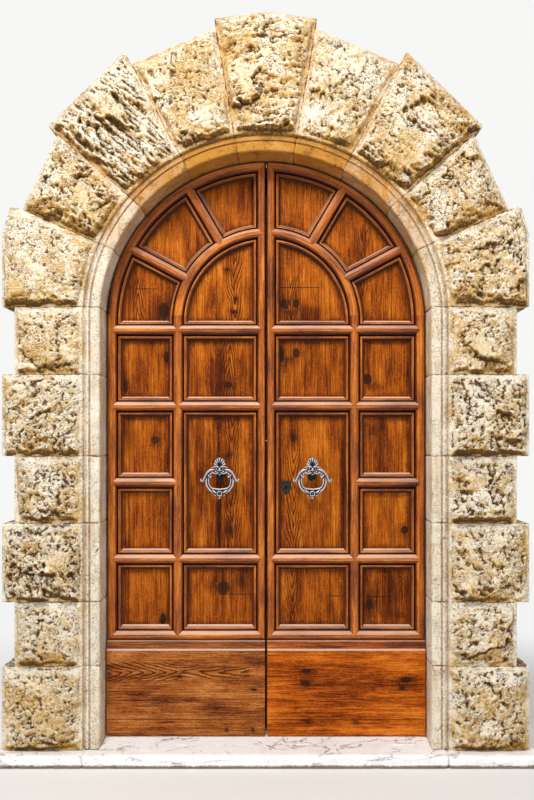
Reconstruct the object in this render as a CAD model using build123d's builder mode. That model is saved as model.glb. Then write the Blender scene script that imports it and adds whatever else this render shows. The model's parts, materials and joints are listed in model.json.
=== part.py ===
from build123d import *
import os
from math import cos, hypot, radians, sin, sqrt

os.makedirs("parts", exist_ok=True)

# The arched doorway, in millimetres: X to the right, Y into the building, Z up.
# The face of the boards is at y = 0 and the underside of the base at z = 0.
opening_width = 1590.0
springing_height = 2055.0  # from the top of the threshold to the centre of the arch
reveal_depth = 190.0  # from the smooth band of the stones back to the face of the boards

# Threshold and base stones
sill_height = 80.0
sill_fall = 17.0  # the top of the slab slopes down to the street by this much
sill_front = 275.0
sill_back = 130.0
sill_level = 60.0  # the flat part of the slab, in front of the boards
seat_drop = 20.0  # the jambs stand this much lower than the top of the threshold
sill_end = 70.0  # how far the slab runs under each jamb
arris_radius = 14.0
base_overhang = 30.0

# Jamb blocks, from the bottom course up
course_shares = (402.0, 307.0, 378.0, 321.0, 391.0, 323.0)
springer_rise = 47.0  # the last course reaches this far above the springing
long_block = 465.0
short_block = 405.0
joint = 0.5
boss_heights_left = (46.0, 38.0, 50.0, 44.0, 48.0, 40.0)
boss_heights_right = (50.0, 36.0, 44.0, 46.0, 50.0, 42.0)

# Arch stones: the radial joints, and how far the outer corners stand from the edge of the opening
arch_joints = (23.7, 41.2, 62.0, 80.2)
stone_depths = ((475.0, 527.0), (587.0, 640.0), (570.0, 603.0))
springer_depth = 501.0
springer_fall = 130.0
keystone_depth = 650.0
crown_depth = 662.0
arch_boss_left = (46.0, 52.0, 50.0, 46.0)
arch_boss_right = (48.0, 50.0, 54.0, 44.0)
keystone_boss = 52.0

# Smooth band round the opening
band_width = 82.0
band_arris = 8.0
band_groove_start = 45.0
band_groove_width = 8.0
band_groove_depth = 6.0
band_cove_start = 62.0
band_cove_end = 78.0
band_cove_depth = 9.0
margin_step = 8.0  # the drafted margin of a block stands this much in front of the band
margin_width = 22.0
boss_shoulder = 20.0
boss_slope = 52.0

# Leaves
stone_gap = 8.0
front_meeting_gap = 10.0
rear_meeting_gap = 1.5
board_thickness = 30.0
back_board_thickness = 30.0
back_board_height = 360.0
board_gap = 2.0
overlap = 35.0  # how far the back boards reach behind the stone
stop_gap = 3.0
floor_gap = 6.0
right_board_shares = (0.4066, 0.7942)  # joints of the boards, as shares of the leaf's width
left_board_shares = (0.4409, 0.8729)

# Moulded bars, all of one section
bar_half = 50.0
bar_height = 45.0
ridge_crown = 7.0
ridge_shoulder = 16.0
ridge_shoulder_height = 41.0
ridge_half = 23.0
ridge_foot = 32.0
groove_middle = 27.0
groove_floor = 20.0
fillet_start = 31.0
fillet_end = 37.0
fillet_height = 28.0
step_start = 38.0
step_end = 42.0
step_height = 19.0
hollow_middle = 45.0
hollow_height = 10.0
foot_height = 6.0
neck = 1.0  # half the width of wood left where two mitred ends meet on one ridge
fit_gap = 0.2

hanging_inset = 22.0
meeting_ridge = 20.0
muntin_share = 0.5565
bottom_rail = 494.0
top_rail_drop = 45.0  # the highest rail stands this much below the springing
rail_spaces = 4
seam_rise = 27.0  # the joint of upright and curved members, above the springing
radial_angles = (28.0, 59.5)

# Foot of the leaves
base_rail_thickness = 32.0
kick_thickness = 25.0
kick_height = 426.0
kick_side_gap = 6.0
kick_edge = 7.0
kick_meeting_gap = 12.0
cap_thickness = 13.0
cap_edge = 4.0
left_kick_seam = 79.0

# Hinges
low_hinge = 230.0
top_hinge_rise = 175.0  # above the springing
hinge_axis_out = 53.0  # axis of the pintles outside the opening's reveal
hinge_axis_in = 45.0
pintle_radius = 8.0
running_gap = 0.05
eye_wall = 5.95
strap_width = 46.0
strap_thickness = 6.0
strap_length = 520.0
pintle_stub = 12.0
pintle_shoulder = 24.0
tang_size = 20.0
tang_depth = 120.0
tang_gap = 0.2

# Knockers
knocker_share = 0.5  # from the meeting ridge to the muntin
knocker_pivot_height = 1347.0
knocker_pivot_out = 34.0
knocker_pin_radius = 5.0
knocker_barrel_radius = 9.0
knocker_barrel_length = 16.0
lug_thickness = 6.0
lug_gap = 0.3
mount_plate = 6.0
ring_back = 46.0
ring_thickness = 20.0
ring_drop = 85.0  # from the pivot down to the middle of the ring's opening
ring_hole_half_width = 52.0
ring_hole_half_height = 35.0
medallion_drop = 147.0
medallion_radius = 14.0
scroll_out = 84.0
scroll_radius = 10.0
mount_boss_drop = 65.0
mount_boss_radius = 16.0
shank_radius = 8.0
shank_gap = 0.3
nut_across = 24.0
nut_thickness = 12.0
strike_gap = 0.3

# Lock on the right leaf
key_x = 99.5
key_height = 1230.0
lock_case_start = 12.0
lock_case_length = 168.0
lock_case_height = 120.0
lock_case_depth = 32.0
lock_bolt_height = 32.0
lock_bolt_thickness = 14.0
lock_bolt_length = 110.0
lock_bolt_inset = 2.0
slide_gap = 0.5
keyhole_radius = 5.0
keyhole_slot = 4.0
keyhole_drop = 16.0
escutcheon_width = 47.0
escutcheon_height = 70.0
escutcheon_thickness = 4.0

# Keeper and the two upright bolts on the left leaf
keeper_length = 44.0
keeper_wall = 14.0
bolt_x = 60.0
bolt_radius = 9.0
bolt_axis_in = 14.0  # in from the back of the leaf
top_bolt_length = 500.0
bottom_bolt_length = 440.0
bolt_rest_gap = 4.0
bolt_socket_depth = 40.0
bolt_knob_radius = 12.0
bolt_knob_length = 30.0
guide_width = 50.0
guide_height = 20.0
guide_depth = 30.0
guide_inset = 60.0
staple_thickness = 12.0
staple_clearance = 9.0
staple_width = 50.0
staple_tang_depth = 100.0

# Places worked out from the sizes above
half_opening = opening_width / 2
spring_z = sill_height + springing_height
stone_back = board_thickness - stop_gap
seat_z = sill_height - seat_drop
leaf_radius = half_opening - stone_gap
back_radius = half_opening + overlap
leaf_foot = sill_height + floor_gap
leaf_back = board_thickness + back_board_thickness
front_edge = front_meeting_gap / 2
rear_edge = rear_meeting_gap / 2
seam_z = spring_z + seam_rise
rail_pitch = (springing_height - top_rail_drop - bottom_rail) / rail_spaces
rail_z = [sill_height + bottom_rail + n * rail_pitch for n in range(rail_spaces + 1)]
hanging_ridge = leaf_radius - hanging_inset
muntin_ridge = muntin_share * leaf_radius
knocker_x = meeting_ridge + knocker_share * (muntin_ridge - meeting_ridge)
top_hinge = springing_height + top_hinge_rise
hinge_heights = (low_hinge, (low_hinge + top_hinge) / 2, top_hinge)
outer_trim = hanging_inset
meeting_trim = meeting_ridge - front_edge
cap_top = rail_z[0] - outer_trim
kick_foot = sill_height + kick_side_gap
kick_top = kick_foot + kick_height
hinge_x = half_opening + hinge_axis_out
margin_front = reveal_depth + margin_step
far = 2 * (spring_z + half_opening)
reach = bar_half * 1.2  # mitre cuts run past the edge of a bar

arch_axis = Axis((0, 0, spring_z), (0, -1, 0))


def polar(radius, angle):
    """A point (x, z) at a radius and an angle from the arch's centre."""
    return (radius * cos(radians(angle)), spring_z + radius * sin(radians(angle)))


def on_arc(radius, x):
    """The point (x, z) of the upper arc of a radius at a distance x from the centreline."""
    return (x, spring_z + sqrt(radius**2 - x**2))


def stretch(start, end, factor):
    """The point beyond end on the line from start, at a multiple of its length."""
    return tuple(a + (b - a) * factor for a, b in zip(start, end))


def radial_plane(angle, inward=False):
    """A plane across the ring: x away from the arch's centre (or towards it), y to the street."""
    way = -1 if inward else 1
    c, s = cos(radians(angle)), sin(radians(angle))
    return Plane(origin=(0, 0, spring_z), x_dir=(way * c, 0, way * s), z_dir=(way * s, 0, -way * c))


def save(part, name):
    """Label a finished piece and write it."""
    part.label = name
    export_step(part, f"parts/{name}.step")


def mirrored(part):
    """The same piece on the other side of the centreline."""
    with BuildPart() as other:
        mirror(part, about=Plane.YZ)
    return other.part


def on_side(part, side):
    return part if side == "right" else mirrored(part)


# Stone surround


def surround_section(width):
    """Plan section of a stone: x out from the reveal, y to the street."""
    with BuildSketch() as section:
        with BuildLine():
            Polyline(
                (0, -stone_back),
                (0, reveal_depth - band_arris),
                (band_arris, reveal_depth),
                (band_groove_start, reveal_depth),
                (band_groove_start + band_groove_width / 2, reveal_depth - band_groove_depth),
                (band_groove_start + band_groove_width, reveal_depth),
                (band_cove_start, reveal_depth),
                (band_cove_end, reveal_depth - band_cove_depth),
                (band_width, reveal_depth - band_cove_depth),
                (band_width, margin_front),
                (width, margin_front),
                (width, -stone_back),
                close=True,
            )
        make_face()
    return section.sketch


def inset(corners, amount):
    """The corners (x, z) of an outline moved in, its sides staying parallel."""
    sides = list(zip(corners, (*corners[1:], corners[0])))
    turn = 1 if sum(a[0] * b[1] - b[0] * a[1] for a, b in sides) > 0 else -1
    normals = []
    for a, b in sides:
        length = turn * hypot(b[0] - a[0], b[1] - a[1])
        normals.append(((a[1] - b[1]) / length, (b[0] - a[0]) / length))
    moved = []
    for n, (x, z) in enumerate(corners):
        (u, v), (p, q) = normals[n - 1], normals[n]
        share = amount / (1 + u * p + v * q)
        moved.append((x + share * (u + p), z + share * (v + q)))
    return moved


def tiered(levels):
    """A flat-sided solid over outlines (x, z) that stand at given heights in front of the boards."""
    loops = [[(x, -height, z) for x, z in outline] for height, outline in levels]
    faces = [Face(Wire.make_polygon(loop)) for loop in (loops[0], loops[-1])]
    for low, high in zip(loops, loops[1:]):
        for n in range(len(low)):
            faces.append(Face(Wire.make_polygon((low[n - 1], low[n], high[n], high[n - 1]))))
    return Solid(Shell(faces))


def rough_face(corners, rise):
    """The quarry-faced boss of a block, in two tiers over its drafted margin."""
    shoulder = margin_width + boss_shoulder
    return tiered(
        (
            (margin_front, inset(corners, margin_width)),
            (margin_front + 0.7 * rise, inset(corners, shoulder)),
            (margin_front + rise, inset(corners, shoulder + boss_slope)),
        )
    )


def pockets(bottom, top):
    """The heights of the hinge tangs that a stone between two heights holds."""
    tangs = [sill_height + height - strap_width / 2 - tang_size / 2 for height in hinge_heights]
    return [z for z in tangs if bottom < z < top]


def pocket_locations(heights):
    return [Location((hinge_x, stone_back - tang_depth / 2, z)) for z in heights]


def jamb_block(width, bottom, top, rise):
    outer = half_opening + width
    inner = half_opening + band_width
    corners = ((inner, bottom), (outer, bottom), (outer, top), (inner, top))
    face = rough_face(corners, rise)
    with BuildPart() as block:
        with BuildSketch(Plane((half_opening, 0, top - joint / 2), x_dir=(1, 0, 0), z_dir=(0, 0, -1))):
            add(surround_section(width))
        extrude(amount=top - bottom - joint)
        add(face)
        heights = pockets(bottom, top)
        if heights:
            with Locations(*pocket_locations(heights)):
                Box(tang_size + 2 * tang_gap, tang_depth, tang_size + 2 * tang_gap, mode=Mode.SUBTRACT)
    return block.part


def arch_stone(start, end, outline, corners, rise, bed=None):
    """A stone of the arch between two angles, cut to its outline, with its boss."""
    face = rough_face(corners, rise)
    play = joint / half_opening / 2 * 57.3
    with BuildPart() as stone:
        with BuildSketch(radial_plane(start + play)):
            with Locations((half_opening, 0)):
                add(surround_section(crown_depth + margin_width))
        revolve(axis=arch_axis, revolution_arc=end - start - 2 * play)
        with BuildSketch(Plane.XZ.offset(margin_front + 1)):
            Polygon(*outline, align=None)
        extrude(amount=-(margin_front + stone_back + 2), mode=Mode.INTERSECT)
        add(face)
        heights = pockets(bed, polar(half_opening, end)[1]) if bed else []
        if heights:
            with Locations(*pocket_locations(heights)):
                Box(tang_size + 2 * tang_gap, tang_depth, tang_size + 2 * tang_gap, mode=Mode.SUBTRACT)
    return stone.part


springer_bed = spring_z + springer_rise
course_unit = (springer_bed - seat_z) / sum(course_shares)
boss_radius = half_opening + band_width + 13

for side, rises in (("left", boss_heights_left), ("right", boss_heights_right)):
    bottom = seat_z
    for n, (share, rise) in enumerate(zip(course_shares, rises)):
        height = share * course_unit
        width = long_block if n % 2 == 0 else short_block
        block = jamb_block(width, bottom, bottom + height, rise)
        save(on_side(block, side), f"{side}_jamb_{n + 1}")
        bottom += height

for side, rises in (("left", arch_boss_left), ("right", arch_boss_right)):
    outer = half_opening + long_block
    shoulder = polar(half_opening + springer_depth, arch_joints[0])
    spring_outer = (
        (outer, springer_bed),
        (outer, shoulder[1] - springer_fall),
        ((outer + shoulder[0]) / 2, shoulder[1]),
    )
    start = 0.5
    outline = (
        (half_opening / 2, springer_bed + joint / 2),
        (outer, springer_bed + joint / 2),
        *spring_outer[1:],
        polar(half_opening + springer_depth, arch_joints[0] + 2),
        (half_opening / 2, shoulder[1]),
    )
    corners = (
        (boss_radius, springer_bed),
        *spring_outer,
        shoulder,
        polar(boss_radius, arch_joints[0]),
    )
    stone = arch_stone(start, arch_joints[0], outline, corners, rises[0], springer_bed)
    save(on_side(stone, side), f"{side}_voussoir_1")
    for n, (low, high) in enumerate(stone_depths):
        start, end = arch_joints[n], arch_joints[n + 1]
        ends = (polar(half_opening + low, start), polar(half_opening + high, end))
        beyond = (stretch(ends[1], ends[0], 1.2), stretch(ends[0], ends[1], 1.2))
        outline = (polar(half_opening / 2, start - 4), *beyond, polar(half_opening / 2, end + 4))
        corners = (polar(boss_radius, start), *ends, polar(boss_radius, end))
        stone = arch_stone(start, end, outline, corners, rises[n + 1])
        save(on_side(stone, side), f"{side}_voussoir_{n + 2}")

key_start = arch_joints[-1]
key_end = 180 - key_start
key_corner = half_opening + keystone_depth
key_ends = (polar(key_corner, key_start), polar(key_corner, key_end))
key_top = (0, spring_z + half_opening + crown_depth)
outline = (
    polar(half_opening / 2, key_start - 4),
    stretch(key_top, key_ends[0], 1.2),
    key_top,
    stretch(key_top, key_ends[1], 1.2),
    polar(half_opening / 2, key_end + 4),
)
corners = (polar(boss_radius, key_start), *key_ends, polar(boss_radius, key_end))
back_crown = spring_z + back_radius
staple_z = back_crown + staple_clearance + staple_thickness / 2
keystone_block = arch_stone(key_start, key_end, outline, corners, keystone_boss)
with BuildPart() as keystone:
    add(keystone_block)
    with Locations((-bolt_x, stone_back - staple_tang_depth / 2, staple_z)):
        Box(
            tang_size + 2 * tang_gap,
            staple_tang_depth,
            staple_thickness + 2 * tang_gap,
            mode=Mode.SUBTRACT,
        )
save(keystone.part, "keystone")

# Threshold, with its seats for the jambs and the socket of the bottom bolt
with BuildPart() as threshold:
    with BuildSketch(Plane.YZ):
        with BuildLine():
            Polyline(
                (-sill_front, 0),
                (-sill_front, sill_height - sill_fall),
                (-sill_level, sill_height),
                (sill_back, sill_height),
                (sill_back, 0),
                close=True,
            )
        make_face()
    extrude(amount=half_opening + sill_end, both=True)
    front_edges = threshold.edges().filter_by(Axis.X).group_by(Axis.Y)[0].sort_by(Axis.Z)[-1]
    fillet(front_edges, arris_radius)
    seat_length = sill_front + stone_back
    with BuildSketch(Plane.XY.offset(seat_z)):
        for way in (-1, 1):
            with Locations((way * (half_opening + sill_end), (stone_back - sill_front) / 2)):
                Rectangle(2 * sill_end, seat_length)
    extrude(amount=seat_drop, mode=Mode.SUBTRACT)
    with Locations((-bolt_x, leaf_back + bolt_axis_in, sill_height)):
        Hole(bolt_radius + running_gap * 6, depth=bolt_socket_depth)
save(threshold.part, "threshold")

with BuildPart() as base_stones:
    base_length = long_block - sill_end + base_overhang
    with BuildSketch(Plane.YZ.offset(half_opening + sill_end)):
        with BuildLine():
            Polyline((-sill_front, 0), (-sill_front, seat_z), (stone_back, seat_z), (stone_back, 0), close=True)
        make_face()
    extrude(amount=base_length)
    front_edges = base_stones.edges().filter_by(Axis.X).group_by(Axis.Y)[0].sort_by(Axis.Z)[-1]
    fillet(front_edges, arris_radius)
    mirror(about=Plane.YZ)
save(base_stones.part, "base_stones")

# Pintles: an upright pin on a square tang let into the back of the stone
with BuildPart() as pintles:
    for height in hinge_heights:
        z = sill_height + height
        eye_bottom = z - strap_width / 2
        tang_start = stone_back - tang_depth
        with Locations((hinge_x, (hinge_axis_in + tang_start) / 2, eye_bottom - tang_size / 2)):
            Box(tang_size, hinge_axis_in - tang_start, tang_size)
        with Locations((hinge_x, hinge_axis_in, eye_bottom - tang_size / 2)):
            Box(pintle_shoulder, pintle_shoulder, tang_size)
        with Locations((hinge_x, hinge_axis_in, eye_bottom)):
            Cylinder(
                pintle_radius,
                strap_width + pintle_stub,
                align=(Align.CENTER, Align.CENTER, Align.MIN),
            )
    mirror(about=Plane.YZ)
save(pintles.part, "pintles")

bolt_y = leaf_back + bolt_axis_in
with BuildPart() as top_staple:
    with Locations((-bolt_x, stone_back - staple_tang_depth / 2, staple_z)):
        Box(tang_size, staple_tang_depth, staple_thickness)
    with Locations((-bolt_x, (stone_back + bolt_y) / 2, staple_z)):
        Box(staple_width, bolt_y - stone_back, staple_thickness)
    with Locations((-bolt_x, bolt_y, staple_z)):
        Cylinder(staple_width / 2, staple_thickness)
        Cylinder(bolt_radius + running_gap * 6, staple_thickness, mode=Mode.SUBTRACT)
save(top_staple.part, "top_bolt_staple")


# Moulded bars


def bar_section(trim=bar_half, rounding=0.0):
    """Section of a bar: x across from the ridge, y out from the boards; trim cuts the -x half."""
    with BuildSketch() as section:
        with BuildLine():
            flank = (
                (0, bar_height),
                (ridge_crown, bar_height),
                (ridge_shoulder, ridge_shoulder_height),
                (ridge_half, ridge_foot),
                (groove_middle, groove_floor),
                (fillet_start, fillet_height),
                (fillet_end, fillet_height),
                (step_start, step_height),
                (step_end, step_height),
                (hollow_middle, hollow_height),
                (bar_half, foot_height),
                (bar_half, 0),
                (0, 0),
            )
            Polyline(*flank)
            Polyline(*[(-x, y) for x, y in flank])
        make_face()
        if trim < bar_half:
            with Locations((-trim - bar_half, 0)):
                Rectangle(2 * bar_half, 4 * bar_height, mode=Mode.SUBTRACT)
            if rounding:
                corner = section.vertices().group_by(Axis.X)[0].sort_by(Axis.Y)[-1]
                fillet(corner, rounding)
    return section.sketch


def upright_plane(x, z, inward):
    """A level plane at a ridge, x towards the middle of the leaf, y to the street."""
    return Plane(origin=(x, 0, z), x_dir=(inward, 0, 0), z_dir=(0, 0, -inward))


def notch(apex, way):
    """The mitre opening that a bar of a given direction makes in the member it meets."""
    along, across = way, (-way[1], way[0])
    sides = [
        tuple(apex[i] + reach * along[i] + turn * reach * across[i] for i in range(2))
        for turn in (-1, 1)
    ]
    return (apex, *sides)


def pointed(start, end, half):
    """Plan of a bar with mitred points at both ends."""
    length = hypot(end[0] - start[0], end[1] - start[1])
    along = ((end[0] - start[0]) / length, (end[1] - start[1]) / length)
    across = (-along[1], along[0])

    def at(distance, offset_by):
        return tuple(start[i] + distance * along[i] + offset_by * across[i] for i in range(2))

    return (
        start,
        at(half, half),
        at(length - half, half),
        end,
        at(length - half, -half),
        at(half, -half),
    )


def corner_line(corner, inward, low_trim, side_trim):
    """The mitre at a foot corner: from outside the leaf, over the ridges' crossing, to the panel."""
    outside = (corner[0] - 1.5 * inward * side_trim, corner[1] - 1.5 * low_trim)
    inside = (corner[0] + inward * reach, corner[1] + reach)
    return outside, corner, inside


rib_crown = on_arc(muntin_ridge, meeting_ridge)
rib_apex = (rib_crown[0] + neck, rib_crown[1])
rib_upper = stretch(rib_apex, on_arc(muntin_ridge + bar_half, meeting_ridge + bar_half), 1.2)
rib_lower = stretch(rib_apex, on_arc(muntin_ridge - bar_half, meeting_ridge + bar_half), 1.2)
crown_corner = on_arc(hanging_ridge, meeting_ridge)
crown_outside = stretch(crown_corner, on_arc(leaf_radius, front_edge), 1.5)
crown_inside = stretch(crown_corner, on_arc(hanging_ridge - bar_half, meeting_ridge + bar_half), 1.2)
hanging_foot = corner_line((hanging_ridge, rail_z[0]), -1, outer_trim, outer_trim)
meeting_foot = corner_line((meeting_ridge, rail_z[0]), 1, outer_trim, meeting_trim)

with BuildPart() as hanging_stile:
    with BuildSketch(upright_plane(hanging_ridge, cap_top, -1)):
        add(bar_section(outer_trim))
    extrude(amount=seam_z - cap_top)
    with BuildSketch(Plane.XZ):
        Polygon(*hanging_foot, (hanging_foot[2][0], 0), (hanging_foot[0][0], 0), align=None)
    extrude(amount=2 * bar_height, mode=Mode.SUBTRACT)
    with BuildSketch(Plane.XZ.offset(foot_height)):
        for z in rail_z[1:]:
            Polygon(*notch((hanging_ridge - neck, z), (-1, 0)), align=None)
    extrude(amount=2 * bar_height, mode=Mode.SUBTRACT)

with BuildPart() as meeting_stile:
    with BuildSketch(upright_plane(meeting_ridge, spring_z + leaf_radius, 1)):
        add(bar_section(meeting_trim, rounding=7.0))
    extrude(amount=spring_z + leaf_radius - cap_top)
    with BuildSketch(Plane.XZ):
        Polygon(*meeting_foot, (meeting_foot[2][0], 0), (meeting_foot[0][0], 0), align=None)
        top = spring_z + 2 * leaf_radius
        Polygon(
            crown_outside,
            crown_corner,
            crown_inside,
            (crown_inside[0], top),
            (crown_outside[0], top),
            align=None,
        )
    extrude(amount=2 * bar_height, mode=Mode.SUBTRACT)
    with BuildSketch(Plane.XZ.offset(foot_height)):
        for z in (rail_z[1], rail_z[3], rail_z[4]):
            Polygon(*notch((meeting_ridge + neck, z), (1, 0)), align=None)
        Polygon(rib_apex, rib_upper, rib_lower, align=None)
    extrude(amount=2 * bar_height, mode=Mode.SUBTRACT)

with BuildPart() as muntin:
    with BuildSketch(upright_plane(muntin_ridge, rail_z[0], -1)):
        add(bar_section())
    extrude(amount=seam_z - rail_z[0])
    with BuildSketch(Plane.XZ):
        foot = (muntin_ridge, rail_z[0] + neck)
        for way in (-1, 1):
            side_point = (foot[0] + way * reach, foot[1] + reach)
            Polygon(foot, side_point, (side_point[0], 0), (foot[0], 0), align=None)
    extrude(amount=2 * bar_height, mode=Mode.SUBTRACT)
    with BuildSketch(Plane.XZ.offset(foot_height)):
        for n, z in enumerate(rail_z[1:], start=1):
            Polygon(*notch((muntin_ridge + neck, z), (1, 0)), align=None)
            if n != 2:
                Polygon(*notch((muntin_ridge - neck, z), (-1, 0)), align=None)
    extrude(amount=2 * bar_height, mode=Mode.SUBTRACT)

with BuildPart() as head:
    with BuildSketch(radial_plane(0, inward=True)):
        with Locations((-hanging_ridge, 0)):
            add(bar_section(outer_trim))
    revolve(axis=arch_axis, revolution_arc=90)
    with BuildSketch(Plane.XZ):
        Polygon((0, 0), (far, 0), (far, seam_z), (0, seam_z), align=None)
        Polygon(
            crown_outside,
            crown_corner,
            crown_inside,
            (crown_inside[0], spring_z),
            (-far, spring_z),
            (-far, crown_outside[1]),
            align=None,
        )
    extrude(amount=2 * bar_height, mode=Mode.SUBTRACT)
    with BuildSketch(Plane.XZ.offset(foot_height)):
        for angle in radial_angles:
            c, s = cos(radians(angle)), sin(radians(angle))
            Polygon(*notch(polar(hanging_ridge - neck, angle), (-c, -s)), align=None)
    extrude(amount=2 * bar_height, mode=Mode.SUBTRACT)

with BuildPart() as arch_rib:
    with BuildSketch(radial_plane(0)):
        with Locations((muntin_ridge, 0)):
            add(bar_section())
    revolve(axis=arch_axis, revolution_arc=90)
    with BuildSketch(Plane.XZ):
        Polygon((0, 0), (far, 0), (far, seam_z), (0, seam_z), align=None)
        Polygon(
            rib_upper,
            rib_apex,
            rib_lower,
            (-reach, rib_lower[1]),
            (-reach, rib_upper[1]),
            align=None,
        )
    extrude(amount=2 * bar_height, mode=Mode.SUBTRACT)
    with BuildSketch(Plane.XZ):
        foot_width = meeting_ridge + bar_half + fit_gap
        Polygon((-reach, seam_z), (foot_width, seam_z), (foot_width, far), (-reach, far), align=None)
    extrude(amount=foot_height, mode=Mode.SUBTRACT)
    with BuildSketch(Plane.XZ.offset(foot_height)):
        for angle in radial_angles:
            c, s = cos(radians(angle)), sin(radians(angle))
            Polygon(*notch(polar(muntin_ridge + neck, angle), (c, s)), align=None)
    extrude(amount=2 * bar_height, mode=Mode.SUBTRACT)


def radial_bar(angle):
    """One bar of the fan, lapped over the feet of the rib and the head."""
    c, s = cos(radians(angle)), sin(radians(angle))
    start = polar(muntin_ridge + neck, angle)
    end = polar(hanging_ridge - neck, angle)
    with BuildPart() as bar:
        with BuildSketch(Plane(origin=(start[0], 0, start[1]), x_dir=(-s, 0, c), z_dir=(c, 0, s))):
            add(bar_section())
        extrude(amount=hanging_ridge - muntin_ridge - 2 * neck)
        with BuildSketch(Plane.XZ.offset(-1)):
            Polygon(*pointed(start, end, reach), align=None)
        extrude(amount=2 * bar_height, mode=Mode.INTERSECT)
        with BuildSketch(Plane.XZ):
            with Locations((0, spring_z)):
                Circle(2 * leaf_radius)
                Circle(hanging_ridge - bar_half - fit_gap, mode=Mode.SUBTRACT)
                Circle(muntin_ridge + bar_half + fit_gap)
        extrude(amount=foot_height, mode=Mode.SUBTRACT)
    return bar.part


with BuildPart() as radial_bars:
    for angle in radial_angles:
        add(radial_bar(angle))


def cross_rail(left_ridge, right_ridge, z):
    """A moulded rail between two upright ridges, lapped over their feet."""
    start = (left_ridge + neck, z)
    end = (right_ridge - neck, z)
    with BuildPart() as rail:
        with BuildSketch(Plane(origin=(start[0], 0, z), x_dir=(0, 0, 1), z_dir=(1, 0, 0))):
            add(bar_section())
        extrude(amount=end[0] - start[0])
        with BuildSketch(Plane.XZ.offset(-1)):
            Polygon(*pointed(start, end, reach), align=None)
        extrude(amount=2 * bar_height, mode=Mode.INTERSECT)
        with BuildSketch(Plane.XZ):
            for ridge in (left_ridge, right_ridge):
                with Locations((ridge, z)):
                    Rectangle(2 * (bar_half + fit_gap), 4 * bar_half)
        extrude(amount=foot_height, mode=Mode.SUBTRACT)
    return rail.part


with BuildPart() as foot_rail:
    rail_start = front_edge
    with BuildSketch(Plane(origin=(rail_start, 0, rail_z[0]), x_dir=(0, 0, 1), z_dir=(1, 0, 0))):
        add(bar_section(outer_trim))
    extrude(amount=leaf_radius - rail_start)
    above = rail_z[0] + 2 * bar_half
    with BuildSketch(Plane.XZ):
        for line in (hanging_foot, meeting_foot):
            Polygon(*line, (line[2][0], above), (line[0][0], above), align=None)
        crossing = (muntin_ridge, rail_z[0] + neck)
        Polygon(*notch(crossing, (0, 1)), align=None)
    extrude(amount=2 * bar_height, mode=Mode.SUBTRACT)

with BuildPart() as rails:
    add(foot_rail.part)
    for n in (1, 3, 4):
        add(cross_rail(meeting_ridge, muntin_ridge, rail_z[n]))
    for n in (1, 2, 3, 4):
        add(cross_rail(muntin_ridge, hanging_ridge, rail_z[n]))
    with Locations(((front_edge + leaf_radius) / 2, -base_rail_thickness / 2, (leaf_foot + cap_top) / 2)):
        Box(leaf_radius - front_edge, base_rail_thickness, cap_top - leaf_foot)

with BuildPart() as kick_cap:
    cap_start = kick_meeting_gap / 2
    with Locations(
        (
            (cap_start + leaf_radius) / 2,
            -base_rail_thickness - cap_thickness / 2,
            (kick_top + cap_top) / 2,
        )
    ):
        Box(leaf_radius - cap_start, cap_thickness, cap_top - kick_top)
    chamfer(kick_cap.edges().filter_by(Axis.X).group_by(Axis.Z)[-1].sort_by(Axis.Y)[0], cap_edge)


def kick_board(seams):
    """The plain board at the foot, in one width or glued up from two."""
    levels = (kick_foot, *seams, kick_top)
    with BuildPart() as board:
        for low, high in zip(levels, levels[1:]):
            with BuildSketch(Plane.XY.offset(low)):
                middle = (kick_meeting_gap / 2 + leaf_radius) / 2
                with Locations((middle, -base_rail_thickness - kick_thickness / 2)):
                    Rectangle(leaf_radius - kick_meeting_gap / 2, kick_thickness)
            extrude(amount=high - low - (joint if high < kick_top else 0))
        top_edge = board.edges().filter_by(Axis.X).group_by(Axis.Z)[-1].sort_by(Axis.Y)[0]
        chamfer(top_edge, kick_edge)
    return board.part


# Boards of the leaves, in two layers


def leaf_outline(radius, edge, low=0.0, high=far):
    """The arched outline of a leaf between two distances from the centreline."""
    with BuildSketch() as outline:
        with BuildLine():
            crown = sqrt(radius**2 - edge**2)
            Line((edge, leaf_foot), (radius, leaf_foot))
            Line((radius, leaf_foot), (radius, spring_z))
            middle = polar(radius, 45)
            ThreePointArc((radius, spring_z), middle, (edge, spring_z + crown))
            Line((edge, spring_z + crown), (edge, leaf_foot))
        make_face()
        if low > 0 or high < far:
            with Locations(((low + high) / 2, far / 2)):
                Rectangle(high - low, far, mode=Mode.INTERSECT)
    return outline.sketch


def shank_hole_sites():
    return (knocker_x, sill_height + knocker_pivot_height - mount_boss_drop)


def keyhole(height=0.0):
    """Outline of the keyhole about the key's place."""
    with BuildSketch() as hole:
        with Locations((key_x, sill_height + key_height)):
            Circle(keyhole_radius + height)
            with Locations((0, -keyhole_drop / 2)):
                Rectangle(keyhole_slot + 2 * height, keyhole_drop)
    return hole.sketch


def field_boards(shares, has_lock):
    seams = [share * leaf_radius for share in shares]
    levels = (front_edge - board_gap / 2, *seams, leaf_radius + board_gap / 2)
    with BuildPart() as boards:
        for low, high in zip(levels, levels[1:]):
            with BuildSketch(Plane.XZ.offset(-board_thickness)):
                add(leaf_outline(leaf_radius, front_edge, low + board_gap / 2, high - board_gap / 2))
            extrude(amount=board_thickness)
        with BuildSketch(Plane.XZ.offset(-board_thickness)):
            with Locations(shank_hole_sites()):
                Circle(shank_radius + shank_gap)
            if has_lock:
                add(keyhole(1.0))
        extrude(amount=board_thickness, mode=Mode.SUBTRACT)
    return boards.part


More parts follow.
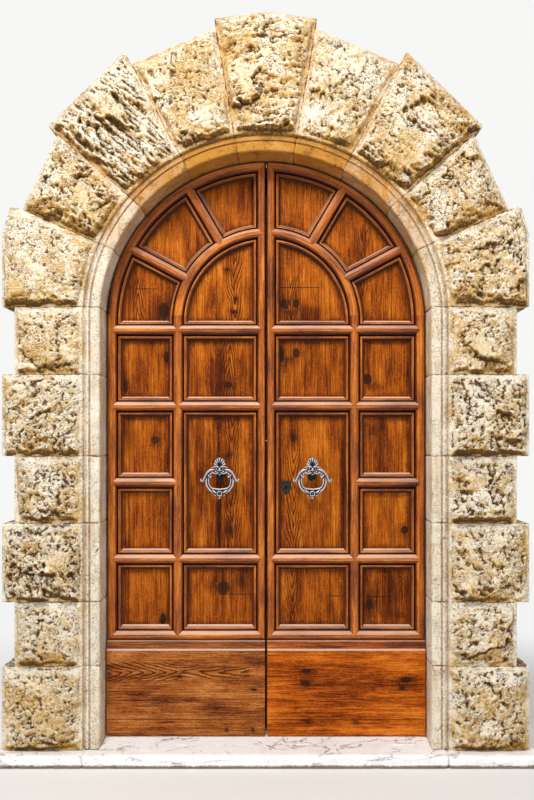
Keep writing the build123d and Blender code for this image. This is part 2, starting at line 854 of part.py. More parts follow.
def back_boards(has_lock):
    crown = spring_z + back_radius
    middle = shank_hole_sites()[1]
    below = int((middle - leaf_foot) / back_board_height + 0.4)
    above = int((crown - middle) / back_board_height + 0.4)
    seams = [middle + (n + 0.5) * back_board_height for n in range(-below, above)]
    with BuildPart() as boards:
        with BuildSketch(Plane.XZ.offset(-leaf_back)):
            add(leaf_outline(back_radius, rear_edge))
        extrude(amount=back_board_thickness)
        with BuildSketch(Plane.XZ.offset(-leaf_back)):
            for seam in seams:
                with Locations((back_radius / 2, seam)):
                    Rectangle(2 * back_radius, board_gap)
            with Locations(shank_hole_sites()):
                Circle(shank_radius + shank_gap)
            if has_lock:
                add(keyhole(1.0))
        extrude(amount=back_board_thickness, mode=Mode.SUBTRACT)
    return boards.part


# Strap hinges: a plate with a rolled eye, cranked forward to the pintle
with BuildPart() as strap_hinges:
    eye_radius = pintle_radius + running_gap + eye_wall
    strap_end = back_radius
    for height in hinge_heights:
        z = sill_height + height - strap_width / 2
        with BuildSketch(Plane.XY.offset(z)):
            with BuildLine():
                Polyline(
                    (strap_end - strap_length, leaf_back),
                    (strap_end - strap_length, leaf_back + strap_thickness),
                    (hinge_x - eye_radius / 2, leaf_back + strap_thickness),
                    (hinge_x + eye_radius * sin(radians(50)), hinge_axis_in + eye_radius * cos(radians(50))),
                    (hinge_x, hinge_axis_in),
                    (strap_end + stop_gap, leaf_back - stop_gap),
                    (strap_end + stop_gap, leaf_back),
                    close=True,
                )
            make_face()
            with Locations((hinge_x, hinge_axis_in)):
                Circle(eye_radius)
                Circle(pintle_radius + running_gap, mode=Mode.SUBTRACT)
        extrude(amount=strap_width)
        tip = (strap_end - strap_length, z + strap_width / 2)
        with BuildSketch(Plane.XZ.offset(-(leaf_back + 2 * strap_thickness))):
            for way in (-1, 1):
                Polygon(
                    (tip[0] - 1, tip[1] + way * strap_width / 6),
                    (tip[0] + strap_width, tip[1] + way * (strap_width / 2 + 1)),
                    (tip[0] - 1, tip[1] + way * (strap_width / 2 + 1)),
                    align=None,
                )
        extrude(amount=3 * strap_thickness, mode=Mode.SUBTRACT)

# Knocker mount: plate, lugs with their pin, boss, shank with its nut, and the strike stud
pivot_z = sill_height + knocker_pivot_height
boss_z = pivot_z - mount_boss_drop
ring_z = pivot_z - ring_drop
medallion_z = pivot_z - medallion_drop
pivot_y = -knocker_pivot_out
lug_radius = knocker_barrel_radius
to_door = Plane(origin=(knocker_x, 0, 0), x_dir=(0, 1, 0), z_dir=(1, 0, 0))
lug_start = knocker_barrel_length / 2 + lug_gap
pin_half = lug_start + lug_thickness


def facets(count, half_width, middle, half_height=None):
    """Corners of a facetted oval about a point."""
    tall = half_height or half_width
    turns = [radians(360 * (n + 0.5) / count) for n in range(count)]
    return [(middle[0] + half_width * cos(turn), middle[1] + tall * sin(turn)) for turn in turns]


with BuildPart() as knocker_mount:
    with BuildSketch(Plane.XZ):
        with Locations((knocker_x, boss_z)):
            Circle(mount_boss_radius + mount_plate)
        with Locations((knocker_x, pivot_z)):
            Circle(mount_boss_radius)
        with Locations((knocker_x, (boss_z + pivot_z) / 2)):
            Rectangle(2 * mount_boss_radius, pivot_z - boss_z)
    extrude(amount=mount_plate)
    boss = facets(12, mount_boss_radius, (knocker_x, boss_z))
    add(tiered(((mount_plate, boss), (mount_plate + mount_boss_radius, inset(boss, 9)))))
    for way in (-1, 1):
        lug_middle = way * (lug_start + lug_thickness / 2)
        with BuildSketch(to_door.offset(lug_middle - lug_thickness / 2)):
            with Locations((pivot_y, pivot_z)):
                Circle(lug_radius)
            with Locations((pivot_y / 2, pivot_z)):
                Rectangle(knocker_pivot_out, 2 * lug_radius)
        extrude(amount=lug_thickness)
    with BuildSketch(to_door.offset(-pin_half)):
        with Locations((pivot_y, pivot_z)):
            Circle(knocker_pin_radius)
    extrude(amount=2 * pin_half)
    with BuildSketch(Plane.XZ.offset(-(leaf_back + nut_thickness / 2))):
        with Locations((knocker_x, boss_z)):
            Circle(shank_radius)
    extrude(amount=leaf_back + nut_thickness / 2)
    with BuildSketch(Plane.XZ.offset(-(leaf_back + nut_thickness))):
        with Locations((knocker_x, boss_z)):
            RegularPolygon(nut_across / 2, 6, major_radius=False)
    extrude(amount=nut_thickness)
    stud = facets(12, medallion_radius, (knocker_x, medallion_z))
    add(tiered(((0, stud), (ring_back - strike_gap, inset(stud, 3)))))

# Knocker: barrel, mask, crown of petals, leafy ring and medallion, cast in one
ring_lobes = (
    (22, 60),
    (44, 62),
    (60, 50),
    (66, 52),
    (74, 36),
    (80, 34),
    (80, 20),
    (92, 12),
    (94, -4),
    (82, -14),
    (80, -30),
    (70, -38),
    (66, -52),
    (52, -60),
    (46, -72),
    (28, -78),
    (18, -88),
)


with BuildPart() as knocker:
    right_lobes = [(knocker_x + x, ring_z + z) for x, z in ring_lobes]
    left_lobes = [(knocker_x - x, ring_z + z) for x, z in reversed(ring_lobes)]
    rim = [*right_lobes, *left_lobes]
    ring_front = ring_back + ring_thickness
    add(tiered(((ring_back, rim), (ring_front - 8, rim), (ring_front, inset(rim, 5)))))
    hole = facets(20, ring_hole_half_width, (knocker_x, ring_z), ring_hole_half_height)
    with BuildSketch(Plane.XZ.offset(ring_back)):
        Polygon(*hole, align=None)
    extrude(amount=ring_thickness, mode=Mode.SUBTRACT)
    medallion = facets(12, medallion_radius, (knocker_x, medallion_z))
    add(tiered(((ring_back, medallion), (ring_front + 6, inset(medallion, 3)))))
    for way in (-1, 1):
        scroll = facets(8, scroll_radius, (knocker_x + way * scroll_out, ring_z + 4))
        add(tiered(((ring_back, scroll), (ring_front + 6, inset(scroll, 3)))))
    mask = facets(8, 25, (knocker_x, pivot_z - 30), 30)
    add(
        tiered(
            (
                (ring_back, mask),
                (ring_back + 22, inset(mask, 4)),
                (ring_back + 32, inset(mask, 15)),
            )
        )
    )
    lengths = (34, 34, 28, 34, 28, 34, 28, 34, 28, 34, 34)
    petals = []
    for angle, length in zip(range(0, 181, 18), lengths):
        turn = radians(angle)
        petals.append((knocker_x + length * cos(turn), pivot_z - 4 + 0.8 * length * sin(turn)))
    add(tiered(((ring_back, petals), (ring_back + 12, inset(petals, 2)))))
    with BuildSketch(to_door.offset(-knocker_barrel_length / 2)):
        with Locations((pivot_y, pivot_z)):
            Circle(knocker_barrel_radius)
        with Locations(((pivot_y - ring_back) / 2, pivot_z)):
            Rectangle(ring_back - knocker_pivot_out + 2, 1.6 * knocker_barrel_radius)
    extrude(amount=knocker_barrel_length)
    with BuildSketch(to_door.offset(-knocker_barrel_length)):
        with Locations((pivot_y, pivot_z)):
            Circle(knocker_pin_radius + running_gap)
    extrude(amount=2 * knocker_barrel_length, mode=Mode.SUBTRACT)

# Both leaves, from the pieces of the right one
leaf_pieces = {
    "hanging_stile": hanging_stile.part,
    "meeting_stile": meeting_stile.part,
    "muntin": muntin.part,
    "head": head.part,
    "arch_rib": arch_rib.part,
    "radial_bars": radial_bars.part,
    "rails": rails.part,
    "kick_cap": kick_cap.part,
    "strap_hinges": strap_hinges.part,
    "knocker_mount": knocker_mount.part,
    "knocker": knocker.part,
}
for side in ("left", "right"):
    for name, piece in leaf_pieces.items():
        save(on_side(piece, side), f"{side}_{name}")
save(mirrored(kick_board((kick_foot + left_kick_seam,))), "left_kick_board")
save(kick_board(()), "right_kick_board")
save(mirrored(field_boards(left_board_shares, False)), "left_field_boards")
save(field_boards(right_board_shares, True), "right_field_boards")
save(mirrored(back_boards(False)), "left_back_boards")
save(back_boards(True), "right_back_boards")

# Rim lock on the right leaf, its escutcheon in front
key_z = sill_height + key_height
bolt_travel_y = leaf_back + lock_case_depth / 2
with BuildPart() as lock_case:
    with Locations((lock_case_start + lock_case_length / 2, bolt_travel_y, key_z)):
        Box(lock_case_length, lock_case_depth, lock_case_height)
    chamfer(lock_case.edges().group_by(Axis.Y)[-1], 3)
    channel = lock_bolt_inset + lock_bolt_length + slide_gap
    with Locations((lock_case_start + channel / 2, bolt_travel_y, key_z)):
        Box(
            channel,
            lock_bolt_thickness + 2 * slide_gap,
            lock_bolt_height + 2 * slide_gap,
            mode=Mode.SUBTRACT,
        )
save(lock_case.part, "lock_case")

with BuildPart() as lock_bolt:
    bolt_start = lock_case_start + lock_bolt_inset
    with Locations((bolt_start + lock_bolt_length / 2, bolt_travel_y, key_z)):
        Box(lock_bolt_length, lock_bolt_thickness, lock_bolt_height)
    chamfer(lock_bolt.faces().sort_by(Axis.X)[0].edges(), 1.5)
save(lock_bolt.part, "lock_bolt")

with BuildPart() as escutcheon:
    with BuildSketch(Plane.XZ):
        half_width = escutcheon_width / 2
        low = key_z - 0.55 * escutcheon_height
        high = key_z + 0.45 * escutcheon_height
        with BuildLine():
            Line((key_x - half_width, high), (key_x + half_width, high))
            Line((key_x + half_width, high), (key_x + half_width, key_z))
            ThreePointArc(
                (key_x + half_width, key_z),
                (key_x + 0.62 * half_width, key_z - 0.36 * escutcheon_height),
                (key_x, low),
            )
            ThreePointArc(
                (key_x, low),
                (key_x - 0.62 * half_width, key_z - 0.36 * escutcheon_height),
                (key_x - half_width, key_z),
            )
            Line((key_x - half_width, key_z), (key_x - half_width, high))
        make_face()
        add(keyhole(), mode=Mode.SUBTRACT)
    extrude(amount=escutcheon_thickness)
save(escutcheon.part, "escutcheon")

# Lock keeper and bolt guides on the back of the left leaf
top_bolt_end = back_crown - bolt_rest_gap
bottom_bolt_end = leaf_foot + bolt_rest_gap
guide_levels = (
    top_bolt_end - guide_inset,
    top_bolt_end - top_bolt_length + guide_inset,
    bottom_bolt_end + guide_inset,
    bottom_bolt_end + bottom_bolt_length - guide_inset,
)
with BuildPart() as left_staples:
    keeper_start = lock_case_start
    with Locations((-keeper_start - keeper_length / 2, bolt_travel_y, key_z)):
        Box(keeper_length, lock_case_depth, lock_bolt_height + 2 * keeper_wall)
    with Locations((-keeper_start - keeper_length / 2 + keeper_wall / 2, bolt_travel_y, key_z)):
        Box(
            keeper_length - keeper_wall,
            lock_bolt_thickness + 4 * slide_gap,
            lock_bolt_height + 4 * slide_gap,
            mode=Mode.SUBTRACT,
        )
    for z in guide_levels:
        with Locations((-bolt_x, leaf_back + guide_depth / 2, z)):
            Box(guide_width, guide_depth, guide_height)
        with Locations((-bolt_x, bolt_y, z)):
            Cylinder(bolt_radius + 2 * running_gap, guide_height, mode=Mode.SUBTRACT)
save(left_staples.part, "left_staples")


def upright_bolt(low, length, knob):
    """A round bar with a knob to draw it by."""
    with BuildPart() as bolt:
        with Locations((-bolt_x, bolt_y, low)):
            Cylinder(bolt_radius, length, align=(Align.CENTER, Align.CENTER, Align.MIN))
        with BuildSketch(Plane.XZ.offset(-(bolt_y + bolt_radius + bolt_knob_length))):
            with Locations((-bolt_x, knob)):
                Circle(bolt_knob_radius)
        extrude(amount=bolt_knob_length / 2)
        with BuildSketch(Plane.XZ.offset(-(bolt_y + bolt_radius + bolt_knob_length / 2))):
            with Locations((-bolt_x, knob)):
                Circle(bolt_knob_radius / 2)
        extrude(amount=bolt_knob_length / 2 + bolt_radius)
    return bolt.part


top_low = top_bolt_end - top_bolt_length
save(upright_bolt(top_low, top_bolt_length, top_low + top_bolt_length / 2), "top_bolt")
bottom_knob = bottom_bolt_end + bottom_bolt_length / 2
save(upright_bolt(bottom_bolt_end, bottom_bolt_length, bottom_knob), "bottom_bolt")
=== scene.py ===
"""An arched two-leaf wooden door in its surround of rough-faced stone, dressed for rendering."""

from __future__ import annotations

import json
import logging
import math
from dataclasses import dataclass, field
from enum import Enum
from functools import reduce
from typing import Any, Callable, Iterable, Sequence

import bmesh
import bpy
import numpy as np
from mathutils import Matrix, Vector

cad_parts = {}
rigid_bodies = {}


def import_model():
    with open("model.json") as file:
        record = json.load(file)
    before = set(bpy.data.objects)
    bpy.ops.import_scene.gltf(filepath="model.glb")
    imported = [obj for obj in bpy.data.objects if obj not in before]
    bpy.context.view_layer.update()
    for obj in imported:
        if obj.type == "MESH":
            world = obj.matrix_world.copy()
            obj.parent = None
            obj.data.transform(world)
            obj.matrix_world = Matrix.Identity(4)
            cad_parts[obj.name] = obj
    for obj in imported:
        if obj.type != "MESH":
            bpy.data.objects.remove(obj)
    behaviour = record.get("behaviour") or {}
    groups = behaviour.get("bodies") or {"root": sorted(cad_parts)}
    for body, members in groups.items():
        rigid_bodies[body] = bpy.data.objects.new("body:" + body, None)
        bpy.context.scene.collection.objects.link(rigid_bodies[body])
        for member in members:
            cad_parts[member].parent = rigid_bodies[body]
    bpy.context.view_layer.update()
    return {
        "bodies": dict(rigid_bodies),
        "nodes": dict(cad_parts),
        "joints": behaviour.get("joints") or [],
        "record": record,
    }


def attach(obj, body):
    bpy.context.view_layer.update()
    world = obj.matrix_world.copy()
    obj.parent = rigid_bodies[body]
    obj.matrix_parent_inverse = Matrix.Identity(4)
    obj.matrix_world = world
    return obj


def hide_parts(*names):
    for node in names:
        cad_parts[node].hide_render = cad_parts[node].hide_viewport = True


LOG = logging.getLogger("door")

Colour = tuple[float, float, float]
Array = np.ndarray
Point = tuple[float, float, float]
Route = tuple[tuple[Point, float], ...]
Masses = tuple[tuple[Point, Point], ...]

# Metres: the springing, half the opening, the crests of the round bars and of the rails
SPRING_Z = 2.135
HALF_OPENING = 0.795
RIB_RADIUS = 0.438
HEAD_RADIUS = 0.765
OUTER_RAIL = 1.332
RAIL_HEIGHTS = (0.574, 0.953, OUTER_RAIL, 1.711, 2.090)

# Points closer than this are one, and nothing is further off than FAR
WELD = 0.00002
FAR = 9.0


class Side(Enum):
    """Which half of the doorway a piece belongs to; the value is the sign of its x."""

    LEFT = -1
    RIGHT = 1

    @property
    def word(self) -> str:
        """The side's name as it stands in node names."""
        return self.name.lower()


class Grain(Enum):
    """Which way the fibres of a piece of wood run."""

    UPRIGHT = "upright"
    LEVEL = "level"
    ROUND = "round"
    SPOKE = "spoke"


# Shader maths


class Value:
    """A shader socket that Python's operators can be used on."""

    def __init__(self, graph: Graph, socket: bpy.types.NodeSocket) -> None:
        """Wrap an output socket of a graph.

        Args:
            graph: The graph that the socket belongs to.
            socket: The output socket.
        """
        self.graph = graph
        self.socket = socket

    def _math(self, operation: str, *others: Value | float, first: bool = True) -> Value:
        """Add a Math node with this value as its first or second operand.

        Args:
            operation: The Math node's operation.
            others: The other operands.
            first: Whether this value comes first.

        Returns:
            The node's result.
        """
        operands: tuple[Any, ...] = (self, *others) if first else (*others, self)
        inputs = dict(enumerate(operands))
        return self.graph.node("ShaderNodeMath", {"operation": operation}, inputs)

    def __add__(self, other: Value | float) -> Value:
        """Sum."""
        return self._math("ADD", other)

    __radd__ = __add__

    def __sub__(self, other: Value | float) -> Value:
        """Difference."""
        return self._math("SUBTRACT", other)

    def __rsub__(self, other: float) -> Value:
        """Difference from a number."""
        return self._math("SUBTRACT", other, first=False)

    def __mul__(self, other: Value | float) -> Value:
        """Product."""
        return self._math("MULTIPLY", other)

    __rmul__ = __mul__

    def __truediv__(self, other: Value | float) -> Value:
        """Quotient."""
        return self._math("DIVIDE", other)

    def __rtruediv__(self, other: float) -> Value:
        """Quotient of a number."""
        return self._math("DIVIDE", other, first=False)

    def __abs__(self) -> Value:
        """Magnitude."""
        return self._math("ABSOLUTE")

    def least(self, other: Value | float) -> Value:
        """The lesser of two values."""
        return self._math("MINIMUM", other)

    def most(self, other: Value | float) -> Value:
        """The greater of two values."""
        return self._math("MAXIMUM", other)

    def wrapped(self) -> Value:
        """The part after the decimal point."""
        return self._math("FRACT")

    def sine(self) -> Value:
        """Sine of an angle in radians."""
        return self._math("SINE")

    def root(self) -> Value:
        """Square root."""
        return self._math("SQRT")

    def angle_over(self, other: Value) -> Value:
        """Angle whose tangent is this value over another."""
        return self._math("ARCTAN2", other)

    def step(self, low: float, high: float) -> Value:
        """A smooth step from 0 at low to 1 at high, or down if high is the lesser.

        Args:
            low: Where the result is 0.
            high: Where the result is 1.

        Returns:
            The stepped value.
        """
        start, end, floor, top = (low, high, 0.0, 1.0) if low < high else (high, low, 1.0, 0.0)
        settings = {"interpolation_type": "SMOOTHSTEP", "clamp": True}
        inputs = {"Value": self, "From Min": start, "From Max": end, "To Min": floor, "To Max": top}
        return self.graph.node("ShaderNodeMapRange", settings, inputs)


def folded(values: Sequence[Value], rule: Callable[[Value, Value], Value]) -> Value | None:
    """A row of values run into one by a rule of two, or nothing for an empty row."""
    return reduce(rule, values) if values else None


class Graph:
    """The node tree of one material."""

    def __init__(self, name: str) -> None:
        """Start a material with an empty tree.

        Args:
            name: The material's name.
        """
        self.material = bpy.data.materials.new(name)
        self.material.use_nodes = True
        self.tree = self.material.node_tree
        self.tree.nodes.clear()

    def node(
        self,
        kind: str,
        settings: dict[str, Any] | None = None,
        inputs: dict[str | int, Any] | None = None,
        output: str | int = 0,
    ) -> Value:
        """Add a node, set it up and link it.

        Args:
            kind: The node's type.
            settings: Its settings; "stops" are a colour ramp's.
            inputs: A value or link for each named or numbered socket.
            output: The output to return.

        Returns:
            The chosen output.
        """
        made = self.tree.nodes.new(kind)
        for key, value in (settings or {}).items():
            if key == "stops":
                self._set_stops(made.color_ramp, value)
            else:
                setattr(made, key, value)
        for key, value in (inputs or {}).items():
            if isinstance(value, Value):
                self.tree.links.new(value.socket, made.inputs[key])
            elif value is not None:
                made.inputs[key].default_value = value
        return Value(self, made.outputs[output])

    @staticmethod
    def _set_stops(ramp: bpy.types.ColorRamp, stops: Sequence[tuple[float, Colour]]) -> None:
        """Set a colour ramp's stops.

        Args:
            ramp: The ramp.
            stops: Each stop's place and colour.
        """
        while len(ramp.elements) < len(stops):
            ramp.elements.new(1.0)
        for element, (place, colour) in zip(ramp.elements, stops):
            element.position = place
            element.color = (*colour, 1.0)

    def ramp(self, factor: Value, stops: Sequence[tuple[float, Colour]]) -> Value:
        """A colour read from a ramp."""
        return self.node("ShaderNodeValToRGB", {"stops": stops}, {"Fac": factor})

    def mix(self, factor: Value | float, first: Value | Colour, second: Value | Colour) -> Value:
        """Blend two colours.

        Args:
            factor: How much of the second colour shows.
            first: The colour at 0.
            second: The colour at 1.

        Returns:
            The blend.
        """
        ends = [c if isinstance(c, Value) else (*c, 1.0) for c in (first, second)]
        inputs = {0: factor, 6: ends[0], 7: ends[1]}
        return self.node("ShaderNodeMix", {"data_type": "RGBA"}, inputs, 2)

    def shaded(self, factor: Value, first: Value, tint: Colour) -> Value:
        """Multiply a colour by a tint as far as a factor says."""
        settings = {"data_type": "RGBA", "blend_type": "MULTIPLY"}
        return self.node("ShaderNodeMix", settings, {0: factor, 6: first, 7: (*tint, 1.0)}, 2)

    def place(self) -> tuple[Value, Value, Value]:
        """The point in the object's own frame.

        Returns:
            Its three coordinates.
        """
        spot = self.node("ShaderNodeTexCoord", output="Object")
        made = self.node("ShaderNodeSeparateXYZ", inputs={0: spot}).socket.node
        return tuple(Value(self, made.outputs[n]) for n in range(3))

    def vector(self, x: Value | float, y: Value | float, z: Value | float) -> Value:
        """A vector of three values."""
        return self.node("ShaderNodeCombineXYZ", inputs={0: x, 1: y, 2: z})

    def noise(self, at: Value, scale: float, detail: float = 3.0, rough: float = 0.55) -> Value:
        """Fractal noise from 0 to 1.

        Args:
            at: The vector to read it at.
            scale: Repeats a unit.
            detail: Octaves.
            rough: How much each finer octave weighs.

        Returns:
            The noise.
        """
        inputs = {"Vector": at, "Scale": scale, "Detail": detail, "Roughness": rough}
        return self.node("ShaderNodeTexNoise", {"noise_dimensions": "3D"}, inputs)

    def cells(self, at: Value, scale: float) -> Value:
        """Distance to the nearest of scattered points, in cells."""
        return self.node("ShaderNodeTexVoronoi", {}, {"Vector": at, "Scale": scale})

    def attribute(self, name: str) -> Value:
        """A number that is kept with the mesh's points."""
        return self.node("ShaderNodeAttribute", {"attribute_name": name}, output="Fac")

    def bump(self, height: Value, distance: float, strength: float = 1.0) -> Value:
        """A normal from a height in units of a distance in metres."""
        inputs = {"Height": height, "Distance": distance, "Strength": strength}
        return self.node("ShaderNodeBump", {}, inputs)

    def rise(self) -> Value:
        """How far the surface faces up, from -1 to 1."""
        facing = self.node("ShaderNodeNewGeometry", output="Normal")
        return self.node("ShaderNodeSeparateXYZ", inputs={0: facing}, output="Z")

    def principled(self, **sockets: Any) -> Value:
        """Add a Principled shader.

        Args:
            sockets: Its sockets, with underscores for the spaces of their names.

        Returns:
            The shader.
        """
        inputs: dict[str | int, Any] = {}
        for name, value in sockets.items():
            if isinstance(value, tuple) and len(value) == 3:
                value = (*value, 1.0)
            inputs[name.replace("_", " ")] = value
        return self.node("ShaderNodeBsdfPrincipled", {}, inputs, "BSDF")

    def finish(self, **sockets: Any) -> bpy.types.Material:
        """Close the tree with a Principled shader and give the material."""
        self.node_end(self.principled(**sockets))
        return self.material

    def node_end(self, shader: Value) -> None:
        """Link a shader to the material's surface."""
        out = self.tree.nodes.new("ShaderNodeOutputMaterial")
        self.tree.links.new(shader.socket, out.inputs["Surface"])


# Finishes


@dataclass(frozen=True)
class Spot:
    """A knot or stain: its middle, half width and half height, and how dark it is, or bright below 0."""

    x: float
    z: float
    wide: float
    tall: float
    dark: float = 1.0

    def distance(self, x: Value, z: Value) -> Value:
        """How far a point lies from the middle, in half widths."""
        u, v = (x - self.x) / self.wide, (z - self.z) / self.tall
        return (u * u + v * v).root()


@dataclass(frozen=True)
class Flame:
    """A strip of pointed rings: the line it runs along, where it starts and ends, and how wide it is."""

    line: float
    start: float
    end: float
    wide: float = 0.030
    lean: float = 30.0
    pitch: float = 82.0


@dataclass(frozen=True)
class Cut:
    """A straight joint across a board where a piece is let in: its ends, and where it crosses."""

    start: float
    end: float
    level: float


@dataclass(frozen=True)
class Pine:
    """Pine, stained honey and walnut and oiled."""

    name: str
    grain: Grain
    ridges: tuple[float, ...] = ()
    spokes: tuple[float, ...] = ()
    knots: tuple[Spot, ...] = ()
    stains: tuple[Spot, ...] = ()
    flames: tuple[Flame, ...] = ()
    cuts: tuple[Cut, ...] = ()
    panelled: bool = False
    shift: float = 0.0
    tone: float = 0.0
    gloss: float = 0.06
    rings: float = 0.10
    patches: float = 1.30
    # strength of a painted highlight, with some dust, on what faces up
    dust: float = 0.0
    seam: float | None = None
    tint: Colour = (1.0, 1.0, 1.0)
    deep: Colour = (0.026, 0.0050, 0.0010)
    brown: Colour = (0.130, 0.0240, 0.0030)
    honey: Colour = (0.375, 0.0900, 0.0045)
    gold: Colour = (0.640, 0.2200, 0.0240)
    flame_line: Colour = (0.042, 0.0075, 0.0020)
    knot_heart: Colour = (0.022, 0.008, 0.004)
    cut_line: Colour = (0.022, 0.007, 0.003)
    seam_line: Colour = (0.030, 0.012, 0.006)
    # colours of that painted highlight on the moulded bars and on the plain pieces
    bleached: Colour = (0.70, 0.45, 0.33)
    dusty: Colour = (0.60, 0.42, 0.35)
    # tints of painted shade: the bars' slopes, feet, quirks (with some dirt there), undersides and meeting
    # edge, and the panels beside the bars
    slope_shade: Colour = (0.30, 0.19, 0.14)
    foot_shade: Colour = (0.14, 0.09, 0.07)
    quirk_shade: Colour = (0.055, 0.032, 0.022)
    under_shade: Colour = (0.26, 0.16, 0.12)
    meeting_shade: Colour = (0.05, 0.03, 0.02)
    panel_shade: Colour = (0.30, 0.20, 0.15)

    def _frame(self, graph: Graph) -> tuple[Value, Value, Value]:
        """The distances across, through and along the fibres.

        Args:
            graph: The graph to add nodes to.

        Returns:
            Across, through and along, in metres.
        """
        x, y, z = graph.place()
        if self.grain is Grain.UPRIGHT:
            return x, y, z
        if self.grain is Grain.LEVEL:
            return z, y, x
        up = z - SPRING_Z
        radius = (x * x + up * up).root()
        arc = up.angle_over(abs(x))
        return (radius, y, arc * 0.6) if self.grain is Grain.ROUND else (arc * 0.6, y, radius)

    def _drawn_out(
        self,
        graph: Graph,
        frame: tuple[Value, Value, Value],
        scales: Point,
        detail: float,
        rough: float = 0.55,
    ) -> Value:
        """Noise that is drawn out along the fibres.

        Args:
            graph: The graph to add nodes to.
            frame: The distances across, through and along the fibres.
            scales: Repeats a metre across, through and along them.
            detail: Octaves.
            rough: How much each finer octave weighs.

        Returns:
            The noise, from 0 to 1.
        """
        across, through, along = frame
        at = graph.vector(across * scales[0], through * scales[1], along * scales[2] + self.shift)
        return graph.noise(at, 1.0, detail, rough)

    def _ridge_distance(self, graph: Graph, across: Value) -> Value | None:
        """Distance from the nearest crest of a moulded bar.

        Args:
            graph: The graph to add nodes to.
            across: The distance across the fibres.

        Returns:
            The distance, or None for a plain piece.
        """
        crests = [abs(abs(across) - ridge) for ridge in self.ridges]
        for spoke in self.spokes:
            x, _, z = graph.place()
            turn = math.radians(spoke)
            crests.append(abs(abs(x) * math.sin(turn) - (z - SPRING_Z) * math.cos(turn)))
        return folded(crests, Value.least)

    def _panel_shadow(self, graph: Graph) -> Value:
        """Where painted shade, with some dirt, darkens the panels beside the bars that all columns of
        panels share.

        Args:
            graph: The graph to add nodes to.

        Returns:
            The darkness, from 0 to 1.
        """
        x, _, z = graph.place()
        out = abs(x)
        up = z - SPRING_Z
        radius = (x * x + up * up).root()
        low = z.step(SPRING_Z + 0.03, SPRING_Z + 0.024)
        edge = abs(out - 0.02)
        for ridge in (RIB_RADIUS, HEAD_RADIUS):
            upright = abs(out - ridge) + (1.0 - low)
            arched = abs(radius - ridge) + low
            edge = edge.least(upright).least(arched)
        for rail in RAIL_HEIGHTS:
            if rail != OUTER_RAIL:
                edge = edge.least(abs(z - rail))
        blur = graph.noise(graph.vector(x, 0.0, z), 22.0, 3.0, 0.6) - 0.5
        return (edge + blur * 0.05).step(0.078, 0.046)

    def _knotted(self, graph: Graph) -> tuple[Value | None, Value | None]:
        """How dark the knots make each point, and how near a knot it is.

        Args:
            graph: The graph to add nodes to.

        Returns:
            The darkness and the nearness, or nothing for clear wood.
        """
        x, _, z = graph.place()
        blur = graph.noise(graph.vector(x, 0.0, z), 85.0, 3.0, 0.6) - 0.5
        dark, near = [], []
        for knot in self.knots:
            away = knot.distance(x, z) + blur * 0.9
            heart = (away.step(1.55, 0.95) * (knot.dark * 1.2)).least(1.0)
            loops = (away * 2.1).wrapped().step(0.5, 0.95) * away.step(3.4, 1.2) * (0.90 * knot.dark)
            dark.append(heart.most(loops))
            near.append(away.step(4.5, 1.0))
        return folded(dark, Value.most), folded(near, Value.most)

    def _flamed(self, graph: Graph, across: Value, along: Value, wander: Value) -> Value | None:
        """The dark lines of pointed rings.

        Args:
            graph: The graph to add nodes to.
            across: The distance across the fibres.
            along: The distance along them.
            wander: Slow noise that bends the lines.

        Returns:
            How dark the lines make each point, or nothing for plain wood.
        """
        bend = graph.noise(graph.vector(across * 9.0, 0.0, along * 5.0 + self.shift), 1.0, 2.0) - 0.5
        fade = 0.02
        dark = []
        for flame in self.flames:
            aside = across - flame.line + bend * 0.05
            rings = (aside * aside + 0.000012).root() * flame.pitch + along * (flame.lean * 0.6)
            lines = (rings + wander * 4.0).wrapped()
            mark = lines.step(0.45, 0.92) * lines.step(1.0, 0.95)
            reach = abs(aside).step(flame.wide * 1.15, flame.wide * 0.75)
            begun = along.step(flame.start - fade, flame.start + fade)
            dark.append(mark * reach * (begun * along.step(flame.end + fade, flame.end - fade)))
        return folded(dark, Value.most)

    def _cracked(self, across: Value, along: Value) -> Value | None:
        """The dark lines where pieces are let in.

        Args:
            across: The distance across the fibres.
            along: The distance along them.

        Returns:
            How much each point lies in a line, or nothing for whole boards.
        """
        lines = []
        for cut in self.cuts:
            window = across.step(cut.start - 0.001, cut.start) * across.step(cut.end + 0.001, cut.end)
            lines.append(abs(along - cut.level).step(0.0032, 0.0012) * window)
        return folded(lines, Value.most)

    def _weathered(self, graph: Graph, colour: Value, near: Value, patch: Value) -> Value:
        """Paint shade on the slopes, quirks, feet and undersides of moulded bars and on the meeting edge,
        with some dirt in the quirks and feet, and paint a highlight, with some dust, on what faces up.

        Args:
            graph: The graph to add nodes to.
            colour: The wood's colour.
            near: The distance from a bar's crest.
            patch: Slow noise.

        Returns:
            The colour with its painted shade and highlight.
        """
        # painted shade, with some dirt in the quirks and at the feet: the slopes, quirks and feet of the
        # bars are darkened
        groove = near.step(0.0205, 0.0255) * near.step(0.0325, 0.0290)
        foot = near.step(0.0385, 0.0435)
        slope = near.step(0.0150, 0.0210) * near.step(0.0275, 0.0240)
        colour = graph.shaded((slope * 0.90).least(1.0), colour, self.slope_shade)
        colour = graph.shaded((foot * (0.80 + patch * 0.3)).least(1.0), colour, self.foot_shade)
        colour = graph.shaded((groove * (0.78 + patch * 0.3)).least(1.0), colour, self.quirk_shade)
        rise = graph.rise()
        # painted shade on what faces down
        colour = graph.shaded(rise.step(-0.12, -0.50) * 0.85, colour, self.under_shade)
        # painted highlight, with some dust, on what faces up
        bleached = rise.step(0.14, 0.55) * (patch.step(0.25, 0.65) * 0.45 + 0.50) * self.dust
        colour = graph.mix(bleached * (1.0 - groove), colour, self.bleached)
        # painted shade on the edge of the meeting stile, in the gap where the leaves meet
        if self.grain is Grain.UPRIGHT:
            x, _, _ = graph.place()
            colour = graph.shaded(abs(x).step(0.0092, 0.0068), colour, self.meeting_shade)
        return colour

